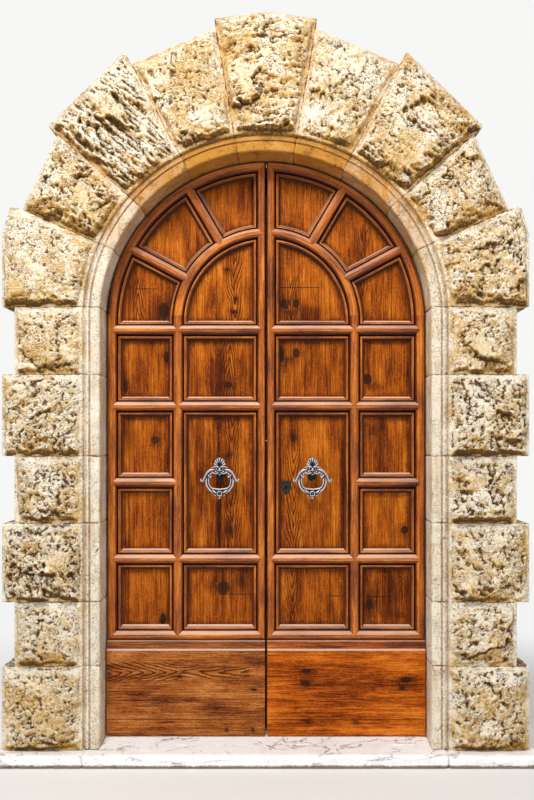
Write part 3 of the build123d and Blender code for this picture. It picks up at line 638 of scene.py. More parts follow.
    def material(self) -> bpy.types.Material:
        """Build the material.

        Returns:
            The material.
        """
        graph = Graph(self.name)
        frame = self._frame(graph)
        across, _, along = frame
        wander = self._drawn_out(graph, frame, (5.0, 5.0, 0.55), 2.0)
        sway = self._drawn_out(graph, frame, (22.0, 12.0, 1.6), 2.0)
        fibre = self._drawn_out(graph, frame, (430.0, 430.0, 22.0), 3.0, 0.65)
        streak = self._drawn_out(graph, frame, (90.0, 60.0, 4.5), 4.0, 0.7)
        grain = self._drawn_out(graph, frame, (260.0, 200.0, 90.0), 3.0, 0.7)
        patch = self._drawn_out(graph, frame, (11.0, 9.0, 3.0), 4.0, 0.6)
        knots, close = self._knotted(graph) if self.knots else (None, None)
        rings = (across * 88.0 + wander * 9.0 + sway * 1.6).wrapped()
        late = rings.step(0.35, 0.90) * rings.step(1.0, 0.95)
        tone = (patch - 0.5) * self.patches + (streak - 0.5) * 1.15 + (fibre - 0.5) * 0.80
        tone = tone + (0.505 + self.tone) + (grain - 0.5) * 0.85 - late * self.rings
        if close is not None:
            tone = tone - close * 0.10
        for stain in self.stains:
            x, _, z = graph.place()
            tone = tone - (stain.distance(x, z) + (patch - 0.5) * 1.6).step(1.25, 0.35) * stain.dark
        stops = ((0.0, self.deep), (0.30, self.brown), (0.60, self.honey), (0.95, self.gold))
        colour = graph.ramp(tone, stops)
        colour = graph.shaded(1.0, colour, self.tint) if self.tint != (1.0, 1.0, 1.0) else colour
        flames = self._flamed(graph, across, along, wander) if self.flames else None
        if flames is not None:
            colour = graph.mix((flames * 1.15).least(0.95), colour, self.flame_line)
        if knots is not None:
            colour = graph.mix(knots * 0.92, colour, self.knot_heart)
        crack = self._cracked(across, along)
        if crack is not None:
            colour = graph.mix(crack * 0.85, colour, self.cut_line)
        if self.seam is not None:
            line = abs(across - self.seam).step(0.0030, 0.0010)
            colour = graph.mix(line * 0.7, colour, self.seam_line)
        near = self._ridge_distance(graph, across)
        if near is not None:
            colour = self._weathered(graph, colour, near, patch)
        # on plain pieces, a painted highlight, with some dust, on what faces up
        elif self.dust:
            colour = graph.mix(graph.rise().step(0.2, 0.6) * self.dust, colour, self.dusty)
        # painted shade, with some dirt, on the panels beside the bars
        if self.panelled:
            shade_and_grime = self._panel_shadow(graph) * (0.35 + patch * 0.75)
            colour = graph.shaded(shade_and_grime.least(1.0), colour, self.panel_shade)
        height = fibre * 0.5 + streak * 0.35 - late * 0.15
        if knots is not None:
            height = height - knots * 0.4
        if crack is not None:
            height = height - crack * 1.5
        return graph.finish(
            Base_Color=colour,
            Roughness=0.34 + (1.0 - streak) * 0.22,
            Normal=graph.bump(height, 0.0007, 0.5),
            Specular_IOR_Level=self.gloss,
        )


@dataclass(frozen=True)
class Travertine:
    """Weathered limestone, pitted: chalky where it stands out or faces up, a painted highlight, and ochre
    and brown in shelter, painted shade with some soil in its hollows and where it faces down.
    """

    name: str
    shift: float
    face: Break
    chalk: Colour = (0.97, 0.872, 0.705)
    cream: Colour = (0.88, 0.635, 0.320)
    ochre: Colour = (0.66, 0.365, 0.090)
    umber: Colour = (0.125, 0.060, 0.022)
    mould: Colour = (0.215, 0.165, 0.110)
    tan: Colour = (0.64, 0.290, 0.046)
    streaked: Colour = (0.33, 0.165, 0.055)
    pore: Colour = (0.170, 0.088, 0.032)
    scorched: Colour = (0.150, 0.068, 0.020)
    grit_shade: Colour = (0.50, 0.39, 0.30)
    # tint of painted shade on what faces down
    under_shade: Colour = (0.55, 0.34, 0.18)

    def material(self) -> bpy.types.Material:
        """Build the material.

        Returns:
            The material.
        """
        graph = Graph(self.name)
        face = self.face
        x, y, z = graph.place()
        spot = graph.vector(x + self.shift, y, z)
        under = graph.attribute("under")
        relief = graph.attribute("relief")
        boss = graph.attribute("boss")
        cloud = graph.noise(spot, 6.5, 4.0, 0.6)
        lichen = graph.noise(spot, 15.0, 5.0, 0.68)
        speck = graph.noise(spot, 75.0, 5.0, 0.7)
        grit = graph.noise(spot, 240.0, 3.0, 0.65)
        runs = graph.noise(graph.vector(x * 30.0 + self.shift, y * 30.0, z * 3.0), 1.0, 4.0, 0.65)
        rise = graph.rise()
        crest = relief.step(-0.05, 0.9)
        hollow = relief.step(-0.05, -0.9)
        # painted light: crests and what faces up turn chalky, hollows and what faces down turn ochre; the
        # noise, warmth and boss terms are the stone's own tone
        warm = (cloud - 0.5) * 1.9 + (speck - 0.5) * 1.9 + under * 0.95 + hollow * 0.18 - crest * 0.16
        warm = warm + face.warmth - rise.step(0.05, 0.7) * 0.46 + boss * 0.42 - 0.33
        colour = graph.mix(warm.step(-0.22, 0.22), self.chalk, self.cream)
        colour = graph.mix(warm.step(0.16, 0.66), colour, self.ochre)
        band = 1.0 - boss
        tan = (runs.step(0.50, 0.68) * 0.28 + face.honey).least(1.0) * band
        colour = graph.mix(tan * (0.66 + cloud * 0.7), colour, self.tan)
        dim = lichen.step(0.54, 0.70) * (0.30 + face.soot * 2.5)
        colour = graph.mix(dim.least(1.0) * (0.35 + hollow * 0.65), colour, self.mould)
        # painted shade with some soil and soot: hollows and what faces down turn umber
        soil = hollow * 0.74 + under.step(0.30, 1.0) * 0.60 + face.soot - band * 0.12
        soil = soil + (speck - 0.5) * 2.2 + (lichen - 0.5)
        colour = graph.mix(soil.step(0.20, 0.74) * 0.93, colour, self.umber)
        up = (z - SPRING_Z).most(0.0)
        off = (x * x + up * up).root() - HALF_OPENING
        groove = off.step(0.042, 0.047) * off.step(0.057, 0.052)
        cove = off.step(0.060, 0.068) * off.step(0.090, 0.080)
        streaks = groove.most(cove * (0.30 + runs * 0.9)) * band * (speck + cloud * 0.6).step(0.55, 0.88)
        colour = graph.mix(streaks * 0.72, colour, self.streaked)
        pores = graph.cells(graph.vector(x + self.shift, y, z * 1.5), 92.0)
        pores = pores.step(0.46, 0.24) * lichen.step(0.42, 0.53)
        small = graph.cells(graph.vector(x + self.shift, y, z * 1.7), 210.0)
        small = small.step(0.36, 0.16) * cloud.step(0.40, 0.55)
        pores = pores.most(small * 0.8)
        colour = graph.mix(pores * (0.34 + boss * 0.38), colour, self.pore)
        colour = graph.shaded(grit.step(0.46, 0.30) * 0.55, colour, self.grit_shade)
        # painted shade on the soffit and on whatever else of the bands faces down
        colour = graph.shaded(rise.step(-0.25, -0.95) * band * 0.40, colour, self.under_shade)
        if face.honey > 0.3:
            scorch = lichen.step(0.55, 0.66) * band * (0.62 * face.honey)
            colour = graph.mix(scorch, colour, self.scorched)
        height = speck * 1.6 + grit * 0.9 + lichen * 0.9 - pores * 0.9
        if face.tool:
            ribs = (z * face.tool).sine() * boss * cloud.step(0.42, 0.6)
            height = height + ribs * 0.2
        return graph.finish(
            Base_Color=colour,
            Roughness=0.88 + (grit - 0.5) * 0.2,
            Normal=graph.bump(height, 0.0065, 0.9),
            Specular_IOR_Level=0.15,
        )


@dataclass(frozen=True)
class Marble:
    """The white slabs at the foot: hard, veined and cracked, with soil along their worn edges."""

    name: str
    white: Colour = (0.88, 0.868, 0.860)
    grey: Colour = (0.60, 0.56, 0.53)
    sand: Colour = (0.74, 0.64, 0.52)
    soil: Colour = (0.13, 0.075, 0.030)
    crack: Colour = (0.17, 0.10, 0.06)

    def material(self) -> bpy.types.Material:
        """Build the material.

        Returns:
            The material.
        """
        graph = Graph(self.name)
        x, y, z = graph.place()
        spot = graph.vector(x, y, z)
        cloud = graph.noise(spot, 5.0, 5.0, 0.62)
        speck = graph.noise(spot, 70.0, 5.0, 0.7)
        warp = graph.noise(spot, 4.0, 3.0) - 0.5
        vein = graph.noise(graph.vector(x * 3.0 + warp * 1.2, y * 5.0 + warp, z * 14.0), 1.0, 5.0, 0.6)
        colour = graph.mix(cloud.step(0.52, 0.75) * 0.35, self.white, self.grey)
        colour = graph.mix((cloud + speck * 0.4).step(0.46, 0.30) * 0.5, colour, self.sand)
        seam = abs(vein - 0.5).step(0.010, 0.002) * cloud.step(0.42, 0.55)
        chips = graph.cells(graph.vector(x + warp * 0.05, y, z * 2.6), 26.0).step(0.20, 0.10)
        chips = chips * speck.step(0.52, 0.62)
        low = z.step(0.030, 0.004)
        foot = (low + (speck - 0.5) * 1.2 + (cloud - 0.5)).step(0.35, 0.80)
        colour = graph.mix(seam.most(chips) * 0.7, colour, self.crack)
        colour = graph.mix(foot * 0.85, colour, self.soil)
        height = speck * 0.8 + cloud * 2.0 - seam * 1.6 - chips * 2.0
        return graph.finish(
            Base_Color=colour,
            Roughness=0.62 + (speck - 0.5) * 0.3,
            Normal=graph.bump(height, 0.004, 0.7),
            Specular_IOR_Level=0.3,
        )


@dataclass(frozen=True)
class Iron:
    """Iron with dull hollows and worn, paler high places; on the cast knockers the pale high places are a
    painted highlight as well as wear.
    """

    name: str
    body: Colour = (0.050, 0.051, 0.055)
    worn: Colour = (0.17, 0.17, 0.175)
    metallic: float = 0.75
    cast: bool = False

    def material(self) -> bpy.types.Material:
        """Build the material.

        Returns:
            The material.
        """
        graph = Graph(self.name)
        x, y, z = graph.place()
        spot = graph.vector(x, y, z)
        mottle = graph.noise(spot, 90.0, 4.0)
        pit = graph.noise(spot, 420.0, 3.0)
        bright = mottle.step(0.45, 0.75)
        # on cast pieces the pale colour follows how far a place stands out: wear and a painted highlight
        if self.cast:
            relief = graph.attribute("relief")
            bright = (relief + (mottle - 0.5) * 0.7).step(0.02, 0.72)
        colour = graph.mix(bright, self.body, self.worn)
        return graph.finish(
            Base_Color=colour,
            Metallic=self.metallic,
            Roughness=0.38 + pit * 0.22,
            Normal=graph.bump(mottle * 0.6 + pit * 0.4, 0.0007, 0.5),
        )


@dataclass(frozen=True)
class Pale:
    """The plain floor, which fades into the ground behind the object."""

    name: str
    colour: Colour = (0.80, 0.795, 0.785)
    far: Colour = (0.90, 0.90, 0.895)
    near: float = 1.9
    end: float = 3.6

    def material(self) -> bpy.types.Material:
        """Build the material.

        Returns:
            The material.
        """
        graph = Graph(self.name)
        x, y, _ = graph.place()
        away = (x * x + y * y).root().step(self.near, self.end)
        rays = ("Is Camera Ray", "Is Glossy Ray", "Is Transmission Ray")
        seen = folded([graph.node("ShaderNodeLightPath", output=ray) for ray in rays], Value.most)
        matt = graph.principled(Base_Color=self.colour, Roughness=0.9, Specular_IOR_Level=0.1)
        plain = graph.node("ShaderNodeEmission", {}, {"Color": (*self.far, 1.0), "Strength": 1.0})
        blend = graph.node("ShaderNodeMixShader", {}, {0: away * seen, 1: matt, 2: plain})
        graph.node_end(blend)
        return graph.material


# Repeatable noise for the broken faces of the stones


class Roughness3D:
    """Gradient and cell noise over arrays of points."""

    def __init__(self, seed: int) -> None:
        """Choose a pattern.

        Args:
            seed: The pattern's number.
        """
        self.seed = seed
        chance = np.random.default_rng(20261 + seed)
        table = chance.normal(size=(256, 3))
        self.arrows = table / np.linalg.norm(table, axis=1, keepdims=True)
        self.scatter = chance.random((256, 3))

    def _pick(self, cell: Array) -> Array:
        """Pick from the tables for each lattice cell.

        Args:
            cell: The cells' corners.

        Returns:
            An index for each.
        """
        c = cell.astype(np.int64)
        mixed = c[..., 0] * 73856093 ^ c[..., 1] * 19349663 ^ c[..., 2] * 83492791 ^ self.seed * 2654435
        mixed = (mixed ^ (mixed >> 13)) * 1274126177
        return ((mixed >> 7) & 255).astype(np.int64)

    def smooth(self, points: Array) -> Array:
        """Gradient noise.

        Args:
            points: Where to read it, in cells.

        Returns:
            The noise, about -1 to 1.
        """
        base = np.floor(points)
        part = points - base
        fade = part * part * part * (part * (part * 6 - 15) + 10)
        total = np.zeros(points.shape[:-1])
        for corner in np.ndindex(2, 2, 2):
            step = np.array(corner, float)
            arrow = self.arrows[self._pick(base + step)]
            weight = np.prod(np.where(step > 0, fade, 1 - fade), axis=-1)
            total += weight * np.sum(arrow * (part - step), axis=-1)
        return total * 1.7

    def layered(self, points: Array, octaves: int, gain: float = 0.5) -> Array:
        """Octaves of gradient noise.

        Args:
            points: Where to read it, in units of its coarsest cells.
            octaves: How many layers.
            gain: The weight of each finer layer.

        Returns:
            The noise, about -1 to 1.
        """
        total = np.zeros(points.shape[:-1])
        weight, scale = 1.0, 1.0
        for n in range(octaves):
            total += weight * self.smooth(points * scale + 7.3 * n)
            weight, scale = weight * gain, scale * 2.03
        return total

    def ridged(self, points: Array, octaves: int) -> Array:
        """Sharp-crested noise.

        Args:
            points: Where to read it, in its coarsest cells.
            octaves: How many layers.

        Returns:
            The noise, from 0 to about 1.
        """
        total = np.zeros(points.shape[:-1])
        weight, scale = 0.6, 1.0
        for n in range(octaves):
            total += weight * (1 - np.abs(self.smooth(points * scale + 3.7 * n))) ** 2
            weight, scale = weight * 0.5, scale * 2.1
        return total

    def flakes(self, x: Array, z: Array, size: float, tilt: float = 1.0) -> Array:
        """Height of a face broken into tilted flat flakes with sharp steps between them.

        Args:
            x: Distances from the centreline.
            z: Heights.
            size: The flakes' width in metres.
            tilt: How steeply they lean.

        Returns:
            The height, about -1 to 1.
        """
        flat = np.stack((x, np.zeros_like(x), z), axis=-1)
        slow, quick = flat / size * 1.3, flat / size * 4.1
        u = x / size + 0.50 * self.smooth(slow + 2.1) + 0.26 * self.layered(quick, 2, 0.6)
        v = z / size + 0.50 * self.smooth(slow + 9.4) + 0.26 * self.layered(quick + 5, 2, 0.6)
        nearest = np.full(x.shape, FAR)
        height = np.zeros_like(x)
        for right, up in np.ndindex(3, 3):
            column, row = np.floor(u) + right - 1, np.floor(v) + up - 1
            pick = self._pick(np.stack((column, row, 0 * row), axis=-1))
            du = u - column - self.scatter[pick][..., 0]
            dv = v - row - self.scatter[pick][..., 1]
            away = np.hypot(du, dv)
            lean = self.arrows[pick]
            level = lean[..., 2] * 0.8 + tilt * (lean[..., 0] * du + lean[..., 1] * dv)
            height = np.where(away < nearest, level, height)
            nearest = np.minimum(nearest, away)
        return height

    def chips(self, points: Array) -> Array:
        """Cell noise.

        Args:
            points: Where to read it, in cells.

        Returns:
            The distance to the nearest scattered point.
        """
        base = np.floor(points)
        nearest = np.full(points.shape[:-1], FAR)
        for corner in np.ndindex(3, 3, 3):
            cell = base + np.array(corner, float) - 1
            middle = cell + self.scatter[self._pick(cell)]
            nearest = np.minimum(nearest, np.linalg.norm(points - middle, axis=-1))
        return nearest


def eased(values: Array, low: float, high: float) -> Array:
    """A smooth step from 0 at low to 1 at high."""
    share = np.clip((values - low) / (high - low), 0.0, 1.0)
    return share * share * (3 - 2 * share)


def blurred(grid: Array, reach: int) -> Array:
    """A grid averaged over a square about each of its points.

    Args:
        grid: The values.
        reach: Half the square's side, in points.

    Returns:
        The averaged grid.
    """
    for axis in (0, 1):
        wide = np.pad(grid, [(reach, reach) if a == axis else (0, 0) for a in (0, 1)], mode="edge")
        sums = np.cumsum(wide, axis=axis)
        zero = np.zeros_like(np.take(sums, [0], axis=axis))
        sums = np.concatenate((zero, sums), axis=axis)
        count = 2 * reach + 1
        grid = (np.take(sums, range(count, sums.shape[axis]), axis=axis)
                - np.take(sums, range(sums.shape[axis] - count), axis=axis)) / count
    return grid


# Meshes


def add_object(name: str, data: bpy.types.ID | None) -> bpy.types.Object:
    """Add an object to the scene.

    Args:
        name: Its name.
        data: Its mesh, lamp or camera.

    Returns:
        The object.
    """
    made = bpy.data.objects.new(name, data)
    bpy.context.scene.collection.objects.link(made)
    return made


def to_mesh(form: bmesh.types.BMesh, name: str) -> bpy.types.Mesh:
    """Turn a form into a mesh and let the form go.

    Args:
        form: The form.
        name: The mesh's name.

    Returns:
        The mesh.
    """
    mesh = bpy.data.meshes.new(name)
    form.to_mesh(mesh)
    form.free()
    return mesh


def cut_away(source: bpy.types.Mesh, plane: float, keep: int) -> bpy.types.Mesh:
    """What of a mesh lies on one side of an upright plane, closed at the cut.

    Args:
        source: The mesh.
        plane: Where on the y axis the plane stands.
        keep: -1 to keep what lies before it, 1 to keep what lies behind.

    Returns:
        The new mesh.
    """
    form = bmesh.new()
    form.from_mesh(source)
    bmesh.ops.remove_doubles(form, verts=form.verts, dist=WELD)
    parts = form.verts[:] + form.edges[:] + form.faces[:]
    bmesh.ops.bisect_plane(
        form, geom=parts, plane_co=(0, plane, 0), plane_no=(0, -keep, 0), clear_outer=True
    )
    bmesh.ops.holes_fill(form, edges=form.edges, sides=0)
    return to_mesh(form, "part")


def evened(mesh: bpy.types.Mesh, name: str, grain: float) -> bpy.types.Object:
    """An object with a mesh's form in small even faces.

    Args:
        mesh: The mesh.
        name: The object's name.

    Returns:
        The object.
    """
    rough = add_object("rough", mesh)
    skin = rough.modifiers.new("skin", "REMESH")
    skin.mode = "VOXEL"
    skin.voxel_size = grain
    graph = bpy.context.evaluated_depsgraph_get()
    even = bpy.data.meshes.new_from_object(rough.evaluated_get(graph))
    bpy.data.objects.remove(rough)
    return add_object(name, even)


def join_plain(worn: bpy.types.Mesh, plain: bpy.types.Mesh) -> None:
    """Shade a mesh smooth and add a plain one to it.

    Args:
        worn: The mesh to shade and to add to.
        plain: The mesh to add.
    """
    both = bmesh.new()
    both.from_mesh(worn)
    for face in both.faces:
        face.smooth = True
    both.from_mesh(plain)
    both.to_mesh(worn)
    both.free()


class Net:
    """A mesh's points, and the mean of each point's neighbours."""

    def __init__(self, mesh: bpy.types.Mesh) -> None:
        """Read a mesh.

        Args:
            mesh: The mesh.
        """
        self.mesh = mesh
        self.count = len(mesh.vertices)
        self.points = self.read("co").astype(float)
        edges = np.empty(len(mesh.edges) * 2, np.int32)
        mesh.edges.foreach_get("vertices", edges)
        self.first, self.second = edges.reshape(-1, 2).T
        links = sum(np.bincount(ends, minlength=self.count) for ends in (self.first, self.second))
        self.links = np.maximum(links, 1)[:, None]

    def read(self, what: str) -> Array:
        """Read what the mesh keeps for its points.

        Args:
            what: The vector's name, such as "co".

        Returns:
            A row for each point.
        """
        values = np.empty(self.count * 3, np.float32)
        self.mesh.vertices.foreach_get(what, values)
        return values.reshape(-1, 3)

    def averaged(self, points: Array) -> Array:
        """The mean of each point's neighbours.

        Args:
            points: The points' places.

        Returns:
            The means.
        """
        total = np.zeros_like(points)
        np.add.at(total, self.first, points[self.second])
        np.add.at(total, self.second, points[self.first])
        return total / self.links

    def write(self, points: Array) -> None:
        """Move the mesh's points."""
        self.mesh.vertices.foreach_set("co", points.astype(np.float32).ravel())
        self.mesh.update()


def keep_marks(mesh: bpy.types.Mesh, name: str, values: Array) -> None:
    """Keep a number with each of a mesh's points."""
    layer = mesh.attributes.new(name, "FLOAT", "POINT")
    layer.data.foreach_set("value", values.astype(np.float32).ravel())


# The surround


@dataclass(frozen=True)
class Break:
    """How the front of one stone is broken and weathered."""

    rise: float
    seed: int
    rough: float = 1.0
    beds: float = 0.0
    lie: float = 0.0
    pits: float = 1.0
    lean: tuple[float, float] = (0.0, 0.0)
    warmth: float = 0.0
    soot: float = 0.0
    honey: float = 0.0
    tool: float = 0.0


@dataclass(frozen=True)
class Flaking:
    """One size of the flat flakes that a face breaks into: depth, width, tilt and shift of pattern."""

    depth: float
    width: float
    tilt: float
    shift: tuple[float, float] = (0.0, 0.0)


@dataclass(frozen=True)
class StoneShape:
    """The sizes that every stone of the surround shares, and how one is meshed."""

    back: float = 0.027
    reveal: float = 0.190
    arris: float = 0.008
    groove_start: float = 0.045
    groove_width: float = 0.008
    groove_depth: float = 0.006
    cove_start: float = 0.062
    cove_end: float = 0.078
    cove_depth: float = 0.009
    band: float = 0.082
    margin_front: float = 0.198
    margin: float = 0.013
    shoulder: float = 0.017
    slope: float = 0.085
    reveal_rows: int = 14
    groove_rows: int = 6
    cove_rows: int = 6
    side_rows: int = 12
    nick: float = 0.001
    relief_reach: float = 0.015
    relief_depth: float = 0.0052
    flaking: tuple[Flaking, ...] = (
        Flaking(0.0105, 0.150, 1.9),
        Flaking(0.0052, 0.060, 2.0, (3.0, 0.0)),
        Flaking(0.0034, 0.026, 1.7, (0.0, 5.0)),
    )
    strata_depth: float = 0.017
    strata_length: float = 0.22
    strata_thickness: float = 0.044
    pit_depth: float = 0.0055

    def stations(self, step: float, depth: float) -> list[tuple[str, float, float]]:
        """The profile from the rear of the reveal round to the rear of the outer side.

        Args:
            step: The spacing of points on the broken face.
            depth: How far the stone reaches out from the reveal.

        Returns:
            Each station's zone, its distance or share outwards, and its distance to the front.
        """
        line: list[tuple[str, float, float]] = []
        for share in np.linspace(0, 1, self.reveal_rows):
            line.append(("reveal", 0.0, -self.back + share * (self.reveal - self.arris + self.back)))
        line.append(("reveal", 0.4 * self.arris, self.reveal - 0.35 * self.arris))
        line.append(("band", self.arris, self.reveal))
        for place in np.linspace(self.arris + 0.006, self.groove_start - self.nick, self.groove_rows):
            line.append(("band", float(place), self.reveal))
        groove_end = self.groove_start + self.groove_width
        line.append(("band", self.groove_start + self.nick, self.reveal - 0.5 * self.groove_depth))
        line.append(("band", self.groove_start + self.groove_width / 2, self.reveal - self.groove_depth))
        line.append(("band", groove_end - self.nick, self.reveal - 0.5 * self.groove_depth))
        line.append(("band", groove_end, self.reveal))
        line.append(("band", self.cove_start - 0.004, self.reveal))
        cove_width = self.cove_end - self.cove_start
        for share in np.linspace(0, 1, self.cove_rows):
            drop = self.cove_depth * (1 - math.sqrt(max(0.0, 1 - share * share)))
            line.append(("band", self.cove_start + share * cove_width, self.reveal - drop))
        line.append(("band", self.band - self.nick, self.reveal - self.cove_depth))
        count = max(8, round((depth - self.band) / step))
        for share in np.linspace(0, 1, count):
            line.append(("boss", float(share), self.margin_front))
        for share in np.linspace(0, 1, self.side_rows)[1:]:
            line.append(("side", 1.0, self.margin_front - share * (self.margin_front + self.back)))
        return line


@dataclass
class Stone:
    """One stone: where its surface lies, and the mesh that is made of it."""

    name: str
    side: Side
    face: Break
    corners: Sequence[tuple[float, float]]
    length: float
    depth: float
    spread: Callable[[Array, Array], tuple[Array, Array]]
    reach: Callable[[Array], Array]
    shape: StoneShape = field(default_factory=StoneShape)
    step: float = 0.005

    def _edge_distance(self, x: Array, z: Array) -> Array:
        """Distance inwards from the outline of the broken face.

        Args:
            x: Distances from the centreline.
            z: Heights.

        Returns:
            The distance to the nearest side.
        """
        ring = list(self.corners)
        turn = sum(a[0] * b[1] - b[0] * a[1] for a, b in zip(ring, ring[1:] + ring[:1]))
        nearest = np.full(x.shape, FAR)
        for (ax, az), (bx, bz) in zip(ring, ring[1:] + ring[:1]):
            length = math.copysign(math.hypot(bx - ax, bz - az), turn)
            nearest = np.minimum(nearest, ((bx - ax) * (z - az) - (bz - az) * (x - ax)) / length)
        return nearest

    def _boss(self, x: Array, z: Array, noise: Roughness3D) -> tuple[Array, Array]:
        """The broken face's height over its margin.

        Args:
            x: Distances from the centreline.
            z: Heights.
            noise: The stone's noise.

        Returns:
            The height, and how far each point belongs to the boss.
        """
        f = self.face
        flat = np.stack((x, np.zeros_like(x), z), axis=-1)
        edge = self._edge_distance(x, z)
        jagged = edge + 0.007 * noise.layered(flat / 0.075, 3) + 0.002 * noise.smooth(flat / 0.012)
        ramp = eased(jagged, self.shape.margin - 0.004, self.shape.margin + self.shape.shoulder)
        dome = eased(jagged, self.shape.margin, self.shape.margin + self.shape.slope)
        middle_x = sum(c[0] for c in self.corners) / len(self.corners)
        middle_z = sum(c[1] for c in self.corners) / len(self.corners)
        lean = f.lean[0] * (x - middle_x) + f.lean[1] * (z - middle_z)
        height = f.rise * (0.50 * ramp + 0.44 * dome) + lean * ramp
        turn = math.radians(f.lie)
        u, v = x * math.cos(turn) + z * math.sin(turn), z * math.cos(turn) - x * math.sin(turn)
        drawn = u / (1.0 + 1.1 * min(1.0, f.beds))
        rough = np.zeros_like(x)
        for flakes in self.shape.flaking:
            aside, up = flakes.shift
            rough += flakes.depth * noise.flakes(drawn + aside, v + up, flakes.width, flakes.tilt)
        rough += 0.005 * (noise.ridged(flat / 0.13, 2) - 0.5)
        rough += 0.0019 * noise.layered(flat / 0.012, 3, 0.75) - 0.003
        if f.beds:
            layers = (u / self.shape.strata_length, np.zeros_like(x), v / self.shape.strata_thickness)
            strata = noise.ridged(np.stack(layers, axis=-1), 3) - 0.62
            rough += f.beds * self.shape.strata_depth * strata
        bent = flat / 0.026 + 0.35 * noise.smooth(flat / 0.02)[..., None]
        pit = eased(-noise.chips(bent), -0.42, -0.12)
        keep = eased(noise.smooth(flat / 0.08 + 5.0), 0.12, 0.62)
        rough -= f.pits * self.shape.pit_depth * pit * keep
        height = height + ramp * f.rough * rough
        crest = f.rise + 0.002
        height = np.where(height > crest, crest + 0.25 * (height - crest), height)
        return np.clip(height, -0.004, f.rise + 0.007), ramp

    def _shares(self) -> Array:
        """Space the points from joint to joint, closest together at the joints.

        Returns:
            Their places, from 0 to 1.
        """
        inner = [0.0, 0.0012, 0.003, 0.006, 0.010]
        start = 0.0105
        count = max(4, round((self.length - 0.020) / self.step))
        places = inner + list(np.linspace(start, self.length - start, count))[1:-1]
        places += [self.length - place for place in reversed(inner)]
        return (np.array(places) / self.length)[None, :]

    def build(self) -> bpy.types.Object:
        """Mesh the stone.

        Returns:
            The new object.
        """
        noise = Roughness3D(self.face.seed)
        stations = self.shape.stations(self.step, self.depth)
        zone = np.array([entry[0] for entry in stations])
        offset = np.array([entry[1] for entry in stations])[:, None]
        out = np.array([entry[2] for entry in stations])[:, None]
        t = self._shares()
        limit = self.reach(t)
        broad = (zone == "boss")[:, None] | (zone == "side")[:, None]
        s = np.where(broad, self.shape.band + offset * (limit - self.shape.band), offset + 0 * t)
        out = out + 0 * t
        x, z = self.spread(s, t)
        flat = np.stack((x, out, z), axis=-1)
        joint = np.minimum(t, 1 - t) * self.length
        worn = (0.0045 + 0.0025 * noise.smooth(flat / 0.03)) * (1 - eased(joint + 0 * x, 0.0, 0.009))
        fine = noise.layered(flat / 0.012, 2)
        pit = eased(-noise.chips(flat / 0.017), -0.36, -0.14)
        pit = pit * eased(noise.smooth(flat / 0.05), 0.0, 0.4)
        on_boss = (zone == "boss")[:, None] & np.ones_like(x, bool)
        height, ramp = self._boss(x, z, noise)
        lift = np.where(on_boss, height - worn * 0.7, 0.0)
        on_band = (zone == "band")[:, None] & np.ones_like(x, bool)
        lift = np.where(on_band, -worn - 0.0008 * np.abs(fine) - 0.0035 * pit, lift)
        side_rows = zone == "side"
        rough_side = 0.010 * np.abs(noise.layered(flat / 0.06, 3)) + 0.004 * pit
        sink = np.where(side_rows[:, None], -rough_side, 0.0)
        reveal_rows = (zone == "reveal")[:, None] & (out > -self.shape.back + 0.004)
        sink = np.where(reveal_rows, worn * 0.8 + 0.0008 * np.abs(fine) + 0.003 * pit, sink)
        edge_row = np.flatnonzero(zone == "boss")[-1]
        for row in np.flatnonzero(side_rows):
            fall = (out[row] + self.shape.back) / (self.shape.margin_front + self.shape.back)
            lift[row] = lift[edge_row] * np.clip(fall, 0, 1) ** 3
        x, z = self.spread(s + sink, t)
        out = out + lift
        reach = max(2, round(self.shape.relief_reach / self.step))
        relief = (out - blurred(out, reach)) / self.shape.relief_depth
        relief = np.where(on_boss, relief * (0.35 + 0.65 * ramp), 0) - np.where(on_band, pit, 0)
        relief = np.clip(relief - eased(worn, 0.0025, 0.0055) * 0.8, -1, 1)
        under = self._under(x, z, out, on_boss | on_band)
        boss = np.where(on_boss, 0.7 + 0.3 * ramp, 0.0)
        boss = np.where(side_rows[:, None], 0.8, boss)
        return self._mesh(x, out, z, {"relief": relief, "under": under, "boss": boss})

    @staticmethod
    def _under(x: Array, z: Array, out: Array, front: Array) -> Array:
        """How far each point of the front looks down, from 0 to 1.

        Args:
            x: Distances from the centreline.
            z: Heights.
            out: Distances to the front.
            front: Which points are on the front.

        Returns:
            The measure, over a smoothed surface.
        """
        soft = blurred(out, 2)
        along_u = np.stack(np.gradient(np.stack((x, soft, z)), axis=1))
        along_v = np.stack(np.gradient(np.stack((x, soft, z)), axis=2))
        across = np.cross(along_u, along_v, axis=0)
        length = np.linalg.norm(across, axis=0) + 1e-12
        facing = across[2] / length * np.sign(across[1] / length + 1e-9)
        return np.where(front, eased(-facing, 0.10, 0.80), 0.15)

    def _mesh(self, x: Array, out: Array, z: Array, marks: dict[str, Array]) -> bpy.types.Object:
        """Make the object from its grid of points.

        Args:
            x: Distances from the centreline.
            out: Distances to the front.
            z: Heights.
            marks: Numbers to keep with the points.

        Returns:
            The object.
        """
        rows, columns = x.shape
        points = np.stack((x * self.side.value, -out, z), axis=-1).reshape(-1, 3)
        index = np.arange(rows * columns).reshape(rows, columns)
        index = np.vstack((index, index[:1]))
        quads = np.stack((index[:-1, :-1], index[1:, :-1], index[1:, 1:], index[:-1, 1:]), axis=-1)
        faces = quads.reshape(-1, 4).tolist()
        faces.append(index[:-1, 0][::-1].tolist())
        faces.append(index[:-1, -1].tolist())
        if self.side is Side.LEFT:
            faces = [face[::-1] for face in faces]
        mesh = bpy.data.meshes.new(self.name)
        mesh.from_pydata(points.tolist(), [], faces)
        for name, values in marks.items():
            keep_marks(mesh, name, values)
        smooth = np.ones(len(faces), bool)
        smooth[-2:] = False
        mesh.polygons.foreach_set("use_smooth", smooth)
        fix = bmesh.new()
        fix.from_mesh(mesh)
        bmesh.ops.recalc_face_normals(fix, faces=fix.faces)
        fix.to_mesh(mesh)
        fix.free()
        return add_object(self.name, mesh)


